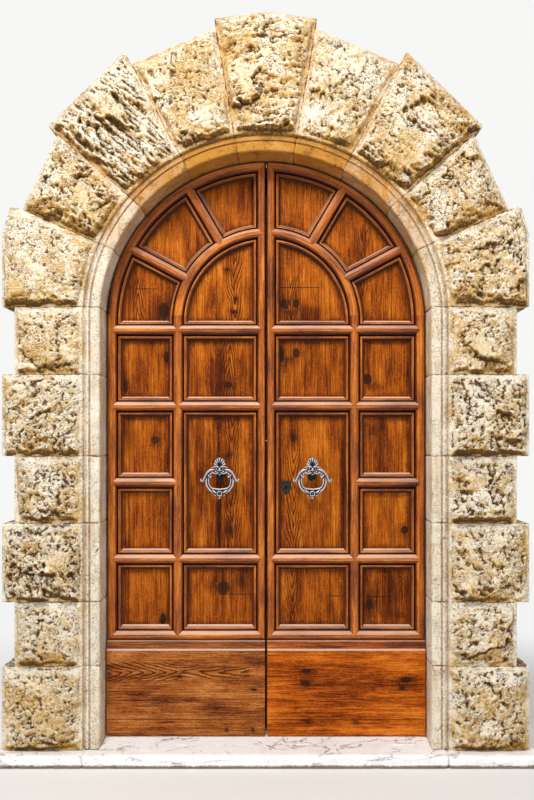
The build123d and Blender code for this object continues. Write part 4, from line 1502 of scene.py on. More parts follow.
@dataclass
class Surround:
    """The stones of the jambs and the arch."""

    seat: float = 0.060
    courses: tuple[float, ...] = (0.402, 0.307, 0.378, 0.321, 0.391, 0.323)
    long_block: float = 0.465
    short_block: float = 0.405
    gap: float = 0.0005
    joints: tuple[float, ...] = (23.7, 41.2, 62.0, 80.2)
    depths: tuple[tuple[float, float], ...] = ((0.475, 0.527), (0.587, 0.640), (0.570, 0.603))
    springer_depth: float = 0.501
    springer_fall: float = 0.130
    key_depth: float = 0.650
    crown_depth: float = 0.662
    boss_start: float = 0.013
    arch_radius: float = 1.25
    fine_step: float = 0.0042
    coarse_step: float = 0.008
    shape: StoneShape = field(default_factory=StoneShape)
    jamb_faces: dict[Side, tuple[Break, ...]] = field(
        default_factory=lambda: {
            Side.LEFT: (
                Break(0.048, 11, rough=0.95, lean=(0.03, 0.02), warmth=0.05),
                Break(0.042, 12, rough=0.75, pits=0.5, warmth=-0.04),
                Break(0.050, 13, rough=1.5, lean=(-0.05, 0.0), soot=0.12),
                Break(0.046, 14, rough=1.1, pits=1.4, soot=0.05),
                Break(0.050, 15, rough=1.1, beds=0.4, lie=-35, lean=(0.0, -0.02)),
                Break(0.044, 16, rough=0.8, pits=0.5, lean=(0.0, -0.03), warmth=0.04),
            ),
            Side.RIGHT: (
                Break(0.050, 21, rough=0.95, lean=(-0.03, 0.0), warmth=0.05),
                Break(0.040, 22, rough=1.0, beds=0.4, lie=40, soot=0.02),
                Break(0.046, 23, rough=1.0, beds=0.3, lie=-50, warmth=0.02),
                Break(0.048, 24, rough=1.2, pits=1.3, soot=0.02),
                Break(0.050, 25, rough=1.3, pits=1.8, soot=0.10),
                Break(0.044, 26, rough=0.85, pits=0.5, lean=(0.0, -0.04), warmth=0.08),
            ),
        }
    )
    arch_faces: dict[Side, tuple[Break, ...]] = field(
        default_factory=lambda: {
            Side.LEFT: (
                Break(0.046, 31, rough=0.6, pits=0.5, lean=(0.0, -0.03), honey=0.05, tool=420.0),
                Break(0.054, 32, rough=1.15, warmth=0.12, honey=0.35),
                Break(0.050, 33, rough=1.2, beds=1.6, lie=38, honey=0.80),
                Break(0.046, 34, rough=0.75, pits=0.8, honey=1.0, warmth=0.02),
            ),
            Side.RIGHT: (
                Break(0.048, 41, rough=0.9, pits=0.6, warmth=0.12, honey=0.15),
                Break(0.050, 42, rough=0.95, pits=0.9, warmth=0.05, honey=0.45),
                Break(0.054, 43, rough=1.1, beds=0.6, lie=-35, warmth=0.08, honey=0.75),
                Break(0.046, 44, rough=0.75, pits=0.8, honey=1.0),
            ),
        }
    )
    key_face: Break = Break(0.052, 51, rough=1.0, pits=0.6, beds=0.6, lie=6, warmth=0.10, honey=1.0)

    def _jamb(self, side: Side, course: int, low: float) -> Stone:
        """Describe one block of a jamb.

        Args:
            side: Its side.
            course: Its course, from 0 at the bottom.
            low: The height of its bed.

        Returns:
            The stone.
        """
        length = self.courses[course] - self.gap
        depth = self.long_block if course % 2 == 0 else self.short_block
        inner, outer, top = HALF_OPENING + self.shape.band, HALF_OPENING + depth, low + length
        return Stone(
            name=f"{side.word}_jamb_{course + 1}_stone",
            side=side,
            face=self.jamb_faces[side][course],
            corners=((inner, low), (outer, low), (outer, top), (inner, top)),
            length=length,
            depth=depth,
            spread=lambda s, t: (HALF_OPENING + s + 0 * t, low + length * t + 0 * s),
            reach=lambda t: depth + 0 * t,
        )

    def _arch(
        self,
        name: str,
        side: Side,
        face: Break,
        span: tuple[float, float],
        rim: Sequence[tuple[float, float]],
        bed: float = 0.0,
    ) -> Stone:
        """Describe one stone of the arch.

        Args:
            name: Its name.
            side: Its side.
            face: How its front is broken.
            span: The angles of its joints, in degrees.
            rim: The corners of its outer edge, from the first joint to the second.
            bed: How far its level bed lies over the springing, or 0 for a radial joint.

        Returns:
            The stone.
        """
        play = math.degrees(self.gap / 2 / HALF_OPENING)
        start, end = math.radians(span[0] + play), math.radians(span[1] - play)
        spokes = [(x, z - SPRING_Z) for x, z in rim]

        def low_angle(radius: Array) -> Array:
            """The angle of the first joint at a radius."""
            return np.arcsin(bed / radius) if bed else start + 0 * radius

        def spread(s: Array, t: Array) -> tuple[Array, Array]:
            """Where a point lies.

            Args:
                s: How far out from the reveal.
                t: How far from the first joint to the second, from 0 to 1.

            Returns:
                Its distance from the centreline and its height.
            """
            radius = HALF_OPENING + s + 0 * t
            angle = low_angle(radius) * (1 - t) + end * t
            return radius * np.cos(angle), SPRING_Z + radius * np.sin(angle)

        def reach(t: Array) -> Array:
            """How far the stone reaches out from the reveal.

            Args:
                t: How far from the first joint to the second, from 0 to 1.

            Returns:
                The distance to its outer edge.
            """
            first = low_angle(np.array([math.hypot(*spokes[0])]))[0]
            angle = first * (1 - t) + end * t
            far = np.full(angle.shape, FAR)
            for (ax, az), (bx, bz) in zip(spokes, spokes[1:]):
                ex, ez = bx - ax, bz - az
                cross = np.cos(angle) * ez - np.sin(angle) * ex
                radius = (ax * ez - az * ex) / np.where(np.abs(cross) < 1e-9, 1e-9, cross)
                where = (radius * np.cos(angle) - ax) * ex + (radius * np.sin(angle) - az) * ez
                share = where / (ex * ex + ez * ez)
                fits = (share > -0.02) & (share < 1.02) & (radius > 0)
                far = np.where(fits, np.minimum(far, radius), far)
            return far - HALF_OPENING

        inner = HALF_OPENING + self.shape.band + self.boss_start
        bottom = math.asin(bed / inner) if bed else start
        corners = [
            (inner * math.cos(bottom), SPRING_Z + inner * math.sin(bottom)),
            *rim,
            (inner * math.cos(end), SPRING_Z + inner * math.sin(end)),
        ]
        return Stone(
            name=name,
            side=side,
            face=face,
            corners=corners,
            length=self.arch_radius * (end - bottom),
            depth=max(math.hypot(*spoke) for spoke in spokes) - HALF_OPENING,
            spread=spread,
            reach=reach,
        )

    @staticmethod
    def _polar(radius: float, angle: float) -> tuple[float, float]:
        """A point at a radius and an angle in degrees from the arch's centre."""
        turn = math.radians(angle)
        return radius * math.cos(turn), SPRING_Z + radius * math.sin(turn)

    def stones(self) -> list[tuple[Stone, str]]:
        """Every stone with the node that it stands for.

        Returns:
            The stones and node names.
        """
        found: list[tuple[Stone, str]] = []
        rise = self.seat + sum(self.courses) - SPRING_Z
        for side in Side:
            low = self.seat
            for course, height in enumerate(self.courses):
                found.append((self._jamb(side, course, low), f"{side.word}_jamb_{course + 1}"))
                low += height
            outer = HALF_OPENING + self.long_block
            shoulder = self._polar(HALF_OPENING + self.springer_depth, self.joints[0])
            rim = [
                (outer, low),
                (outer, shoulder[1] - self.springer_fall),
                ((outer + shoulder[0]) / 2, shoulder[1]),
                shoulder,
            ]
            faces = self.arch_faces[side]
            name = f"{side.word}_voussoir_1"
            span = (0.5, self.joints[0])
            found.append((self._arch(f"{name}_stone", side, faces[0], span, rim, rise), name))
            for n, (first, second) in enumerate(self.depths):
                span = (self.joints[n], self.joints[n + 1])
                reach = (HALF_OPENING + first, HALF_OPENING + second)
                rim = [self._polar(radius, angle) for radius, angle in zip(reach, span)]
                name = f"{side.word}_voussoir_{n + 2}"
                found.append((self._arch(f"{name}_stone", side, faces[n + 1], span, rim), name))
        span = (self.joints[-1], 180 - self.joints[-1])
        corner = HALF_OPENING + self.key_depth
        rim = [
            self._polar(corner, span[0]),
            (0.0, SPRING_Z + HALF_OPENING + self.crown_depth),
            self._polar(corner, span[1]),
        ]
        found.append((self._arch("keystone_stone", Side.RIGHT, self.key_face, span, rim), "keystone"))
        return found

    def build(self) -> None:
        """Mesh and dress every stone."""
        for number, (stone, node) in enumerate(self.stones()):
            stone.step = self.fine_step
            made = stone.build()
            finish = Travertine(f"travertine_{node}", 3.7 * number, stone.face)
            made.data.materials.append(finish.material())
            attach(made, "surround")
            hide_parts(node)
            LOG.info("%s: %d faces", made.name, len(made.data.polygons))


# Dressing for the pieces that keep their modelled shape


def smoothing(sharp: float) -> bpy.types.NodeTree:
    """A geometry group that joins facets and shades across all but the sharp edges.

    Args:
        sharp: The angle in degrees from which an edge is sharp.

    Returns:
        The group.
    """
    name = f"smoothing_{sharp:.0f}"
    known = bpy.data.node_groups.get(name)
    if known:
        return known
    tree = bpy.data.node_groups.new(name, "GeometryNodeTree")
    tree.interface.new_socket("Geometry", in_out="INPUT", socket_type="NodeSocketGeometry")
    tree.interface.new_socket("Geometry", in_out="OUTPUT", socket_type="NodeSocketGeometry")
    start, end = tree.nodes.new("NodeGroupInput"), tree.nodes.new("NodeGroupOutput")
    weld = tree.nodes.new("GeometryNodeMergeByDistance")
    weld.inputs["Distance"].default_value = WELD
    angle = tree.nodes.new("GeometryNodeInputMeshEdgeAngle")
    compare = tree.nodes.new("ShaderNodeMath")
    compare.operation = "LESS_THAN"
    compare.inputs[1].default_value = math.radians(sharp)
    faces, edges = (tree.nodes.new("GeometryNodeSetShadeSmooth") for _ in range(2))
    edges.domain = "EDGE"
    tree.links.new(start.outputs[0], weld.inputs["Geometry"])
    tree.links.new(weld.outputs["Geometry"], faces.inputs["Geometry"])
    tree.links.new(faces.outputs["Geometry"], edges.inputs["Geometry"])
    tree.links.new(angle.outputs["Unsigned Angle"], compare.inputs[0])
    tree.links.new(compare.outputs[0], edges.inputs["Shade Smooth"])
    tree.links.new(edges.outputs["Geometry"], end.inputs[0])
    return tree


def dress(node: str, material: bpy.types.Material, frame: dict[str, Any], sharp: float = 34.0) -> None:
    """Give a modelled piece its finish and its shading.

    Args:
        node: The piece's node.
        material: Its finish.
        frame: The loaded frame.
        sharp: The angle in degrees from which its edges stay sharp.
    """
    piece = frame["nodes"][node]
    piece.data.materials.clear()
    piece.data.materials.append(material)
    shade = piece.modifiers.new("smoothing", "NODES")
    shade.node_group = smoothing(sharp)
    LOG.info("%s dressed", node)


# The slabs, the leaves and the iron


@dataclass
class Slabs:
    """The threshold and the base stones, with worn and chipped edges in front of the leaves."""

    frame: dict[str, Any]
    cut: float = -0.020
    grain: float = 0.006
    wear: float = 0.0055

    def _wear(self, mesh: bpy.types.Mesh, seed: int) -> None:
        """Round and chip the edges, and hollow the faces a little.

        Args:
            mesh: The evenly meshed slab.
            seed: The pattern of its chips.
        """
        net = Net(mesh)
        spots = net.points
        soft = spots
        for _ in range(5):
            soft = 0.35 * soft + 0.65 * net.averaged(soft)
        noise = Roughness3D(seed)
        chip = eased(noise.layered(spots / 0.06, 3), 0.05, 0.75)
        bite = np.linalg.norm(soft - spots, axis=1) / 0.0015
        share = np.clip(0.55 + chip * 1.5, 0, 2.0)[:, None]
        depth = self.wear * chip * np.clip(bite, 0, 1) + 0.0012 * np.abs(noise.layered(spots / 0.05, 3))
        ahead = -spots[:, 1] + self.cut
        depth *= eased(ahead, 0.004, 0.03) * eased(spots[:, 2], 0.004, 0.02)
        inward = np.array((0.0, 1.0, -1.0))
        net.write(spots + (soft - spots) * share + inward * depth[:, None] * 0.7)

    def build(self) -> None:
        """Make and dress the slabs: worn before the cut, and plain behind it."""
        stone = Marble("marble_slabs").material()
        for seed, node in ((81, "threshold"), (82, "base_stones")):
            source = self.frame["nodes"][node].data
            made = evened(cut_away(source, self.cut, -1), f"{node}_worn", self.grain)
            self._wear(made.data, seed)
            join_plain(made.data, cut_away(source, self.cut, 1))
            made.data.materials.clear()
            made.data.materials.append(stone)
            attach(made, "surround")
            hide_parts(node)
            LOG.info("%s: %d faces", made.name, len(made.data.polygons))


@dataclass
class Leaf:
    """One leaf of the door: its boards and mouldings."""

    side: Side
    frame: dict[str, Any]
    uprights: tuple[float, ...] = (0.020, RIB_RADIUS, HEAD_RADIUS)
    rounds: tuple[float, ...] = (RIB_RADIUS, HEAD_RADIUS)
    spokes: tuple[float, ...] = (28.0, 59.5)
    sharp: float = 17.0
    right_shift: float = 31.0

    def _field(self) -> dict[str, Any]:
        """The knots, stains, figure and let-in pieces of the field boards.

        Returns:
            The settings of this side's finish.
        """
        if self.side is Side.LEFT:
            return {
                "knots": (
                    Spot(-0.512, 2.190, 0.021, 0.033, 0.85),
                    Spot(-0.196, 2.397, 0.009, 0.008, 0.8),
                    Spot(-0.153, 2.250, 0.009, 0.010, 0.8),
                    Spot(-0.163, 2.185, 0.014, 0.008, 0.9),
                    Spot(-0.500, 1.960, 0.010, 0.022),
                    Spot(-0.702, 1.815, 0.010, 0.028),
                    Spot(-0.190, 1.820, 0.016, 0.012, 0.9),
                    Spot(-0.555, 1.545, 0.018, 0.015, 0.75),
                    Spot(-0.188, 1.470, 0.008, 0.010, 0.7),
                    Spot(-0.180, 1.095, 0.010, 0.016, 0.8),
                    Spot(-0.214, 0.805, 0.025, 0.027, 0.8),
                    Spot(-0.135, 0.845, 0.020, 0.028, 0.55),
                    Spot(-0.515, 0.650, 0.012, 0.024),
                ),
                "stains": (
                    Spot(-0.255, 1.850, 0.050, 0.140, 0.22),
                    Spot(-0.236, 1.320, 0.017, 0.340, 0.30),
                    Spot(-0.280, 0.830, 0.120, 0.070, 0.16),
                    Spot(-0.250, 1.300, 0.150, 0.330, 0.06),
                    Spot(-0.230, 2.300, 0.200, 0.200, -0.09),
                    Spot(-0.335, 1.520, 0.022, 0.060, 0.16),
                    Spot(-0.250, 2.260, 0.050, 0.120, 0.10),
                ),
                "flames": (
                    Flame(-0.160, 2.12, 2.56, 0.042, -26.0),
                    Flame(-0.188, 1.74, 2.06, 0.036, 26.0),
                    Flame(-0.172, 1.00, 1.66, 0.042, -22.0),
                    Flame(-0.640, 2.14, 2.36, 0.030, 24.0),
                ),
                "cuts": (Cut(-0.660, -0.545, 2.300), Cut(-0.235, -0.070, 0.774)),
            }
        return {
            "knots": (
                Spot(0.090, 2.225, 0.015, 0.019),
                Spot(0.150, 2.228, 0.012, 0.018),
                Spot(0.118, 2.180, 0.016, 0.010, 0.45),
                Spot(0.076, 1.972, 0.011, 0.030),
                Spot(0.150, 1.980, 0.013, 0.019),
                Spot(0.118, 1.948, 0.014, 0.010, 0.5),
                Spot(0.508, 1.850, 0.016, 0.022, 0.95),
                Spot(0.135, 1.555, 0.011, 0.018, 0.8),
                Spot(0.528, 1.592, 0.013, 0.018, 0.5),
                Spot(0.575, 1.610, 0.010, 0.010, 0.4),
                Spot(0.692, 1.095, 0.014, 0.016, 0.9),
                Spot(0.517, 0.722, 0.012, 0.023),
                Spot(0.672, 0.668, 0.024, 0.012, 0.5),
            ),
            "stains": (
                Spot(0.205, 2.180, 0.055, 0.045, 0.20),
                Spot(0.545, 1.810, 0.050, 0.035, 0.22),
                Spot(0.385, 1.250, 0.022, 0.300, 0.20),
                Spot(0.600, 0.760, 0.130, 0.150, 0.12),
                Spot(0.230, 0.760, 0.180, 0.150, 0.08),
                Spot(0.230, 1.350, 0.150, 0.330, -0.08),
                Spot(0.230, 2.300, 0.200, 0.200, -0.08),
            ),
            "flames": (
                Flame(0.135, 1.00, 1.50, 0.036, -26.0),
                Flame(0.130, 0.62, 0.92, 0.036, -26.0),
                Flame(0.120, 2.12, 2.36, 0.045, -22.0),
                Flame(0.480, 2.26, 2.60, 0.030, -18.0),
            ),
            "cuts": (Cut(0.065, 0.265, 2.307), Cut(0.315, 0.400, 0.765), Cut(0.495, 0.625, 0.762)),
        }

    def _kick(self) -> dict[str, Any]:
        """The knots, stains and figure of the kick board.

        Returns:
            The settings of this side's finish.
        """
        if self.side is Side.LEFT:
            return {
                "knots": (
                    Spot(-0.425, 0.376, 0.012, 0.007, 0.8),
                    Spot(-0.060, 0.312, 0.012, 0.005),
                    Spot(-0.195, 0.115, 0.005, 0.005),
                    Spot(-0.065, 0.115, 0.005, 0.005),
                ),
                "stains": (
                    Spot(-0.560, 0.265, 0.140, 0.045, 0.15),
                    Spot(-0.290, 0.255, 0.130, 0.040, 0.13),
                    Spot(-0.640, 0.210, 0.160, 0.050, 0.08),
                ),
                "flames": (
                    Flame(0.400, -0.800, -0.430, 0.050, 30.0, 58.0),
                    Flame(0.398, -0.420, -0.080, 0.032, -16.0, 62.0),
                ),
                "tint": (0.90, 1.10, 3.2),
                "tone": 0.02,
                "seam": 0.165,
                "dust": 0.9,
            }
        return {
            "knots": (
                Spot(0.198, 0.405, 0.020, 0.008, 0.85),
                Spot(0.195, 0.345, 0.020, 0.010, 0.9),
                Spot(0.690, 0.362, 0.022, 0.011, 0.95),
                Spot(0.672, 0.320, 0.012, 0.007),
                Spot(0.205, 0.155, 0.009, 0.008, 0.5),
                Spot(0.445, 0.150, 0.010, 0.008, 0.5),
            ),
            "stains": (Spot(0.340, 0.290, 0.160, 0.020, 0.12), Spot(0.120, 0.180, 0.120, 0.070, 0.10)),
            "tint": (1.12, 0.98, 1.0),
            "tone": 0.06,
            "seam": 0.165,
            "dust": 0.9,
        }

    def _dress(self, kind: str, grain: Grain, shift: float, names: Sequence[str], **settings: Any) -> None:
        """Dress pieces of the leaf in one finish.

        Args:
            kind: The kind of piece, for the finish's name.
            grain: Which way the fibres run.
            shift: Where in the pattern the wood is cut.
            names: The pieces' nodes, without the side.
            settings: The finish's other settings.
        """
        word = self.side.word
        shift += 0.0 if self.side is Side.LEFT else self.right_shift
        made = Pine(f"{word}_{kind}_pine", grain, shift=shift, **settings).material()
        for name in names:
            dress(f"{word}_{name}", made, self.frame, self.sharp)

    def build(self) -> None:
        """Dress every wooden piece of the leaf."""
        moulded = {"gloss": 0.30, "rings": 0.12, "tone": 0.09}
        stiles = ("hanging_stile", "meeting_stile", "muntin")
        rounds = ("head", "arch_rib")
        cap_tint = (0.62, 0.70, 1.6) if self.side is Side.LEFT else (0.95, 0.90, 1.2)
        back = {"tone": 0.02, "patches": 0.5, "tint": (0.85, 0.95, 1.5)}
        self._dress("panel", Grain.UPRIGHT, 0, ["field_boards"], panelled=True, **self._field())
        self._dress("upright", Grain.UPRIGHT, 5, stiles, ridges=self.uprights, dust=0.6, **moulded)
        self._dress("rail", Grain.LEVEL, 9, ["rails"], ridges=RAIL_HEIGHTS, dust=0.95, **moulded)
        self._dress("round", Grain.ROUND, 13, rounds, ridges=self.rounds, dust=0.5, **moulded)
        self._dress("spoke", Grain.SPOKE, 17, ["radial_bars"], spokes=self.spokes, dust=0.6, **moulded)
        self._dress("kick", Grain.LEVEL, 21, ["kick_board"], **self._kick())
        self._dress("cap", Grain.LEVEL, 23, ["kick_cap"], tint=cap_tint, gloss=0.2, dust=0.5)
        self._dress("back", Grain.LEVEL, 25, ["back_boards"], **back)


@dataclass
class Felt:
    """A near-black strip, given the nap of felt, that paints the shade in the gap where the leaves meet,
    let into the left leaf's edge.
    """

    inner: float = -0.00070
    face: float = 0.00040
    front: float = 0.031
    rear: float = 0.059
    foot: float = 0.092
    head: float = 2.915
    nap: float = 0.00006
    steps: int = 300
    dark: Colour = (0.008, 0.006, 0.005)
    pale: Colour = (0.022, 0.016, 0.012)

    def build(self) -> None:
        """Make the strip and dress it."""
        noise = Roughness3D(71)
        heights = np.linspace(self.foot, self.head, self.steps)
        left, right, front, rear = self.inner, self.face, self.front, self.rear
        rows = []
        for x, y in ((left, front), (right, front), (right, rear), (left, rear)):
            spots = np.stack((0 * heights + x * 900, 0 * heights + y * 90, heights * 70), axis=-1)
            ruffled = x + self.nap * noise.smooth(spots)
            rows.append(np.stack((ruffled, 0 * heights + y, heights), axis=-1))
        grid = np.stack(rows, axis=1).reshape(-1, 3)
        faces = []
        for n in range(self.steps - 1):
            for k in range(4):
                j = (k + 1) % 4
                faces.append((4 * n + k, 4 * n + j, 4 * n + 4 + j, 4 * n + 4 + k))
        faces += [(3, 2, 1, 0), tuple(4 * (self.steps - 1) + k for k in range(4))]
        mesh = bpy.data.meshes.new("meeting_felt")
        mesh.from_pydata(grid.tolist(), [], faces)
        strip = add_object("meeting_felt", mesh)
        # painted shade: the strip is near-black so that the gap where the leaves meet reads dark
        graph = Graph("dark_felt")
        x, y, z = graph.place()
        nap = graph.noise(graph.vector(x, y, z), 900.0, 2.0)
        colour = graph.mix(nap, self.dark, self.pale)
        mesh.materials.append(graph.finish(Base_Color=colour, Roughness=0.95, Specular_IOR_Level=0.1))
        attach(strip, "left_leaf")
        LOG.info("%s made", strip.name)


@dataclass
class Knocker:
    """A cast knocker: a crown of petals, a grotesque mask and a leafy ring round an open middle."""

    side: Side
    frame: dict[str, Any]
    finish: bpy.types.Material
    middle: float = 0.229
    ring_z: float = 1.342
    back: float = 0.0458
    grain: float = 0.0012
    petals: tuple[float, ...] = (0.0, 25.0, 50.0, 75.0)
    medal: Point = (0, 63, -62)
    medal_rim: float = 11.5
    relief_depth: float = 0.0016
    facets: int = 14
    bends: int = 6
    outer_ridge: Route = (
        ((44, 56, 52), 5.0),
        ((60, 57, 38), 5.5),
        ((66, 58, 16), 5.5),
        ((66, 58, -6), 5.5),
        ((60, 58, -27), 5.5),
        ((47, 58, -45), 5.5),
        ((32, 58, -56), 5.5),
        ((15, 58, -67), 5.0),
        ((0, 58, -77), 5.5),
    )
    inner_ridge: Route = (
        ((36, 54, 45), 4.0),
        ((49, 55, 30), 4.5),
        ((55, 56, 12), 4.5),
        ((55, 57, -6), 4.5),
        ((50, 57, -24), 4.5),
        ((38, 57, -35), 4.5),
        ((20, 56, -39), 4.5),
        ((0, 56, -41), 4.5),
    )
    web: Route = (((52, 51, -28), 5.0), ((36, 51, -44), 6.0), ((18, 51, -52), 8.0), ((0, 51, -58), 9.0))
    arm: Route = (
        ((22, 60, 56), 7.0),
        ((42, 61, 55), 7.5),
        ((58, 61, 45), 7.0),
        ((70, 60, 25), 6.5),
        ((78, 59, 8), 6.0),
        ((86, 58, 0), 5.5),
        ((92, 58, 3), 4.5),
        ((92, 58, 10), 3.0),
    )
    curl: Route = (((60, 59, 36), 5.0), ((53, 61, 26), 4.5), ((45, 61, 19), 4.0), ((42, 61, 25), 3.0))
    brow: Route = (((3, 70, 67), 4.5), ((14, 72, 72), 4.5), ((27, 67, 71), 4.0), ((37, 63, 66), 3.5))
    whisker: Route = (((3, 70, 45), 4.5), ((16, 69, 39), 5.0), ((30, 64, 40), 4.0), ((37, 62, 47), 2.5))
    leaf: Route = (((13, 61, -60), 3.5), ((25, 63, -53), 5.0), ((38, 61, -43), 2.0))
    masses: Masses = (
        ((0, 58, 55), (23, 12, 23)),
        ((0, 72, 57), (7, 8, 10)),
        ((7, 70, 52), (6, 6, 5)),
        ((17, 64, 47), (8, 8, 8)),
        ((15, 66, 60), (5, 5, 4)),
        ((0, 64, 36), (9, 7, 7)),
        ((0, 52, 91), (26, 5, 25)),
        ((0, 49, 84), (9, 6, 9)),
        ((0, 57, -62), (9, 4, 9)),
        ((0, 60, -83), (6, 5, 5)),
        ((20, 58, -70), (7, 5, 5)),
    )

    def _tube(self, form: bmesh.types.BMesh, route: Route, way: int, flat: float = 1.0) -> None:
        """Sweep a round bar along a smooth line through a route.

        Args:
            form: The mesh to add it to.
            route: Points across, out and up in millimetres, each with the bar's radius.
            way: The side of the middle, 1 or -1.
            flat: The bar's depth as a share of its width.
        """
        turns = np.array([point for point, _ in route], float) * (way, 1, 1)
        widths = np.array([radius for _, radius in route], float)
        ends = np.vstack((2 * turns[0] - turns[1], turns, 2 * turns[-1] - turns[-2]))
        spots, radii = [], []
        for n in range(len(turns) - 1):
            stops = np.linspace(0, 1, self.bends + 1)
            for t in stops if n == len(turns) - 2 else stops[:-1]:
                spots.append(self._curve(ends[n : n + 4], t))
                radii.append(widths[n] * (1 - t) + widths[n + 1] * t)
        line = np.array(spots)
        run = np.gradient(line, axis=0)
        across = np.stack((-run[:, 2], 0 * run[:, 0], run[:, 0]), axis=1)
        across /= np.linalg.norm(across, axis=1, keepdims=True) + 1e-9
        angles = np.linspace(0, 2 * math.pi, self.facets + 1)[:-1]
        loops = []
        for spot, side, radius in zip(line, across, radii):
            ring = np.outer(np.cos(angles), side) + flat * np.outer(np.sin(angles), (0, 1, 0))
            loops.append([form.verts.new(self._placed(point)) for point in spot + radius * ring])
        for first, second in zip(loops, loops[1:]):
            for n in range(len(angles)):
                m = (n + 1) % len(angles)
                form.faces.new((first[n], first[m], second[m], second[n]))
        form.faces.new(loops[0][::-1])
        form.faces.new(loops[-1])
        self._mass(form, tuple(line[0]), (radii[0], radii[0] * flat, radii[0]))
        self._mass(form, tuple(line[-1]), (radii[-1], radii[-1] * flat, radii[-1]))

    @staticmethod
    def _curve(ends: Array, t: float) -> Array:
        """Follow the smooth curve through four points from the second to the third.

        Args:
            ends: The four points.
            t: How far along, from 0 to 1.

        Returns:
            The point there.
        """
        a, b, c, d = ends
        bend, twist = 2 * a - 5 * b + 4 * c - d, 3 * b - a - 3 * c + d
        return 0.5 * (2 * b + (c - a) * t + bend * t**2 + twist * t**3)

    def _placed(self, point: Iterable[float]) -> Vector:
        """A point in millimetres from the ring's middle, set in its place."""
        x, out, z = (0.001 * value for value in point)
        return Vector((self.side.value * self.middle + x, -out, self.ring_z + z))

    def _mass(self, form: bmesh.types.BMesh, centre: Sequence[float], size: Sequence[float]) -> None:
        """Add an ellipsoid.

        Args:
            form: The mesh to add it to.
            centre: Its middle, across, out and up, in millimetres.
            size: Its three half widths in millimetres.
        """
        made = bmesh.ops.create_icosphere(form, subdivisions=3, radius=1.0)["verts"]
        for vertex in made:
            point = [c + s * v for c, s, v in zip(centre, size, vertex.co)]
            vertex.co = self._placed(point)

    def _cast(self) -> bpy.types.Object:
        """Run the bars and masses into one casting.

        Returns:
            The casting.
        """
        form = bmesh.new()
        for way in (-1, 1):
            for route in (self.outer_ridge, self.inner_ridge, self.web, self.arm, self.curl, self.brow):
                self._tube(form, route, way)
            for route in (self.whisker, self.leaf):
                self._tube(form, route, way, 0.9)
            for angle in self.petals if way > 0 else self.petals[1:]:
                s, c = math.sin(math.radians(angle)), math.cos(math.radians(angle))
                petal = (
                    ((4 * s, 60, 76 + 3 * c), 2.5),
                    ((17 * s, 62, 75 + 21 * c), 4.6),
                    ((26 * s, 59, 75 + 34 * c), 5.2),
                )
                self._tube(form, petal, way, 0.75)
            for centre, size in self.masses:
                if way > 0 or centre[0]:
                    self._mass(form, (way * centre[0], *centre[1:]), size)
        width, (x, out, z) = self.medal_rim, self.medal
        turns = np.linspace(0, 2 * math.pi, 13)
        rim = [((x + width * math.cos(a), out, z + width * math.sin(a)), 3.2) for a in turns]
        self._tube(form, tuple(rim), 1)
        return evened(to_mesh(form, "casting"), f"{self.side.word}_knocker_casting", self.grain)

    def _mark(self, mesh: bpy.types.Mesh) -> None:
        """Soften the casting and keep with its points how far each stands out.

        Args:
            mesh: The casting's mesh.
        """
        net = Net(mesh)
        spots = net.points
        for _ in range(2):
            spots = 0.5 * spots + 0.5 * net.averaged(spots)
        net.write(spots)
        wide = spots
        for _ in range(26):
            wide = net.averaged(wide)
        relief = np.sum((spots - wide) * net.read("normal"), axis=1) / self.relief_depth
        keep_marks(mesh, "relief", np.clip(relief, -1, 1))

    def build(self) -> None:
        """Make the casting, join the barrel that turns on the pin, and dress them."""
        made = self._cast()
        self._mark(made.data)
        node = f"{self.side.word}_knocker"
        join_plain(made.data, cut_away(self.frame["nodes"][node].data, -self.back, 1))
        made.data.materials.clear()
        made.data.materials.append(self.finish)
        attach(made, node)
        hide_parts(node)
        LOG.info("%s: %d faces", made.name, len(made.data.polygons))


@dataclass
class Ironwork:
    """Hinges, bolts, the lock and the knockers."""

    frame: dict[str, Any]
    forgings: tuple[str, ...] = (
        "pintles",
        "top_bolt_staple",
        "left_staples",
        "lock_case",
        "lock_bolt",
        "top_bolt",
        "bottom_bolt",
        "left_strap_hinges",
        "right_strap_hinges",
        "escutcheon",
    )

    def build(self) -> None:
        """Dress every iron piece."""
        forged = Iron("forged_iron", (0.012, 0.011, 0.011), (0.034, 0.031, 0.030), 0.6).material()
        plain = Iron("cast_iron", (0.020, 0.019, 0.020), (0.075, 0.070, 0.070)).material()
        cast = Iron("worn_cast_iron", (0.004, 0.004, 0.004), (0.44, 0.415, 0.440), 0.75, True).material()
        for name in self.forgings:
            dress(name, forged, self.frame)
        for side in Side:
            dress(f"{side.word}_knocker_mount", plain, self.frame)
            Knocker(side, self.frame, cast).build()


# The stage


@dataclass(frozen=True)
class Lamp:
    """A soft lamp: where it hangs, what it points at, its width and height, its watts and its colour."""

    name: str
    place: Point
    aim: Point
    size: tuple[float, float]
    power: float
    colour: Colour = (1.0, 1.0, 1.0)

    def hang(self) -> None:
        """Add the lamp to the scene."""
        light = bpy.data.lights.new(self.name, "AREA")
        light.shape = "RECTANGLE"
        light.size, light.size_y = self.size
        light.energy = self.power
        light.color = self.colour
        lamp = add_object(self.name, light)
        lamp.location = self.place
        lamp.rotation_euler = (Vector(self.aim) - Vector(self.place)).to_track_quat("-Z", "Y").to_euler()


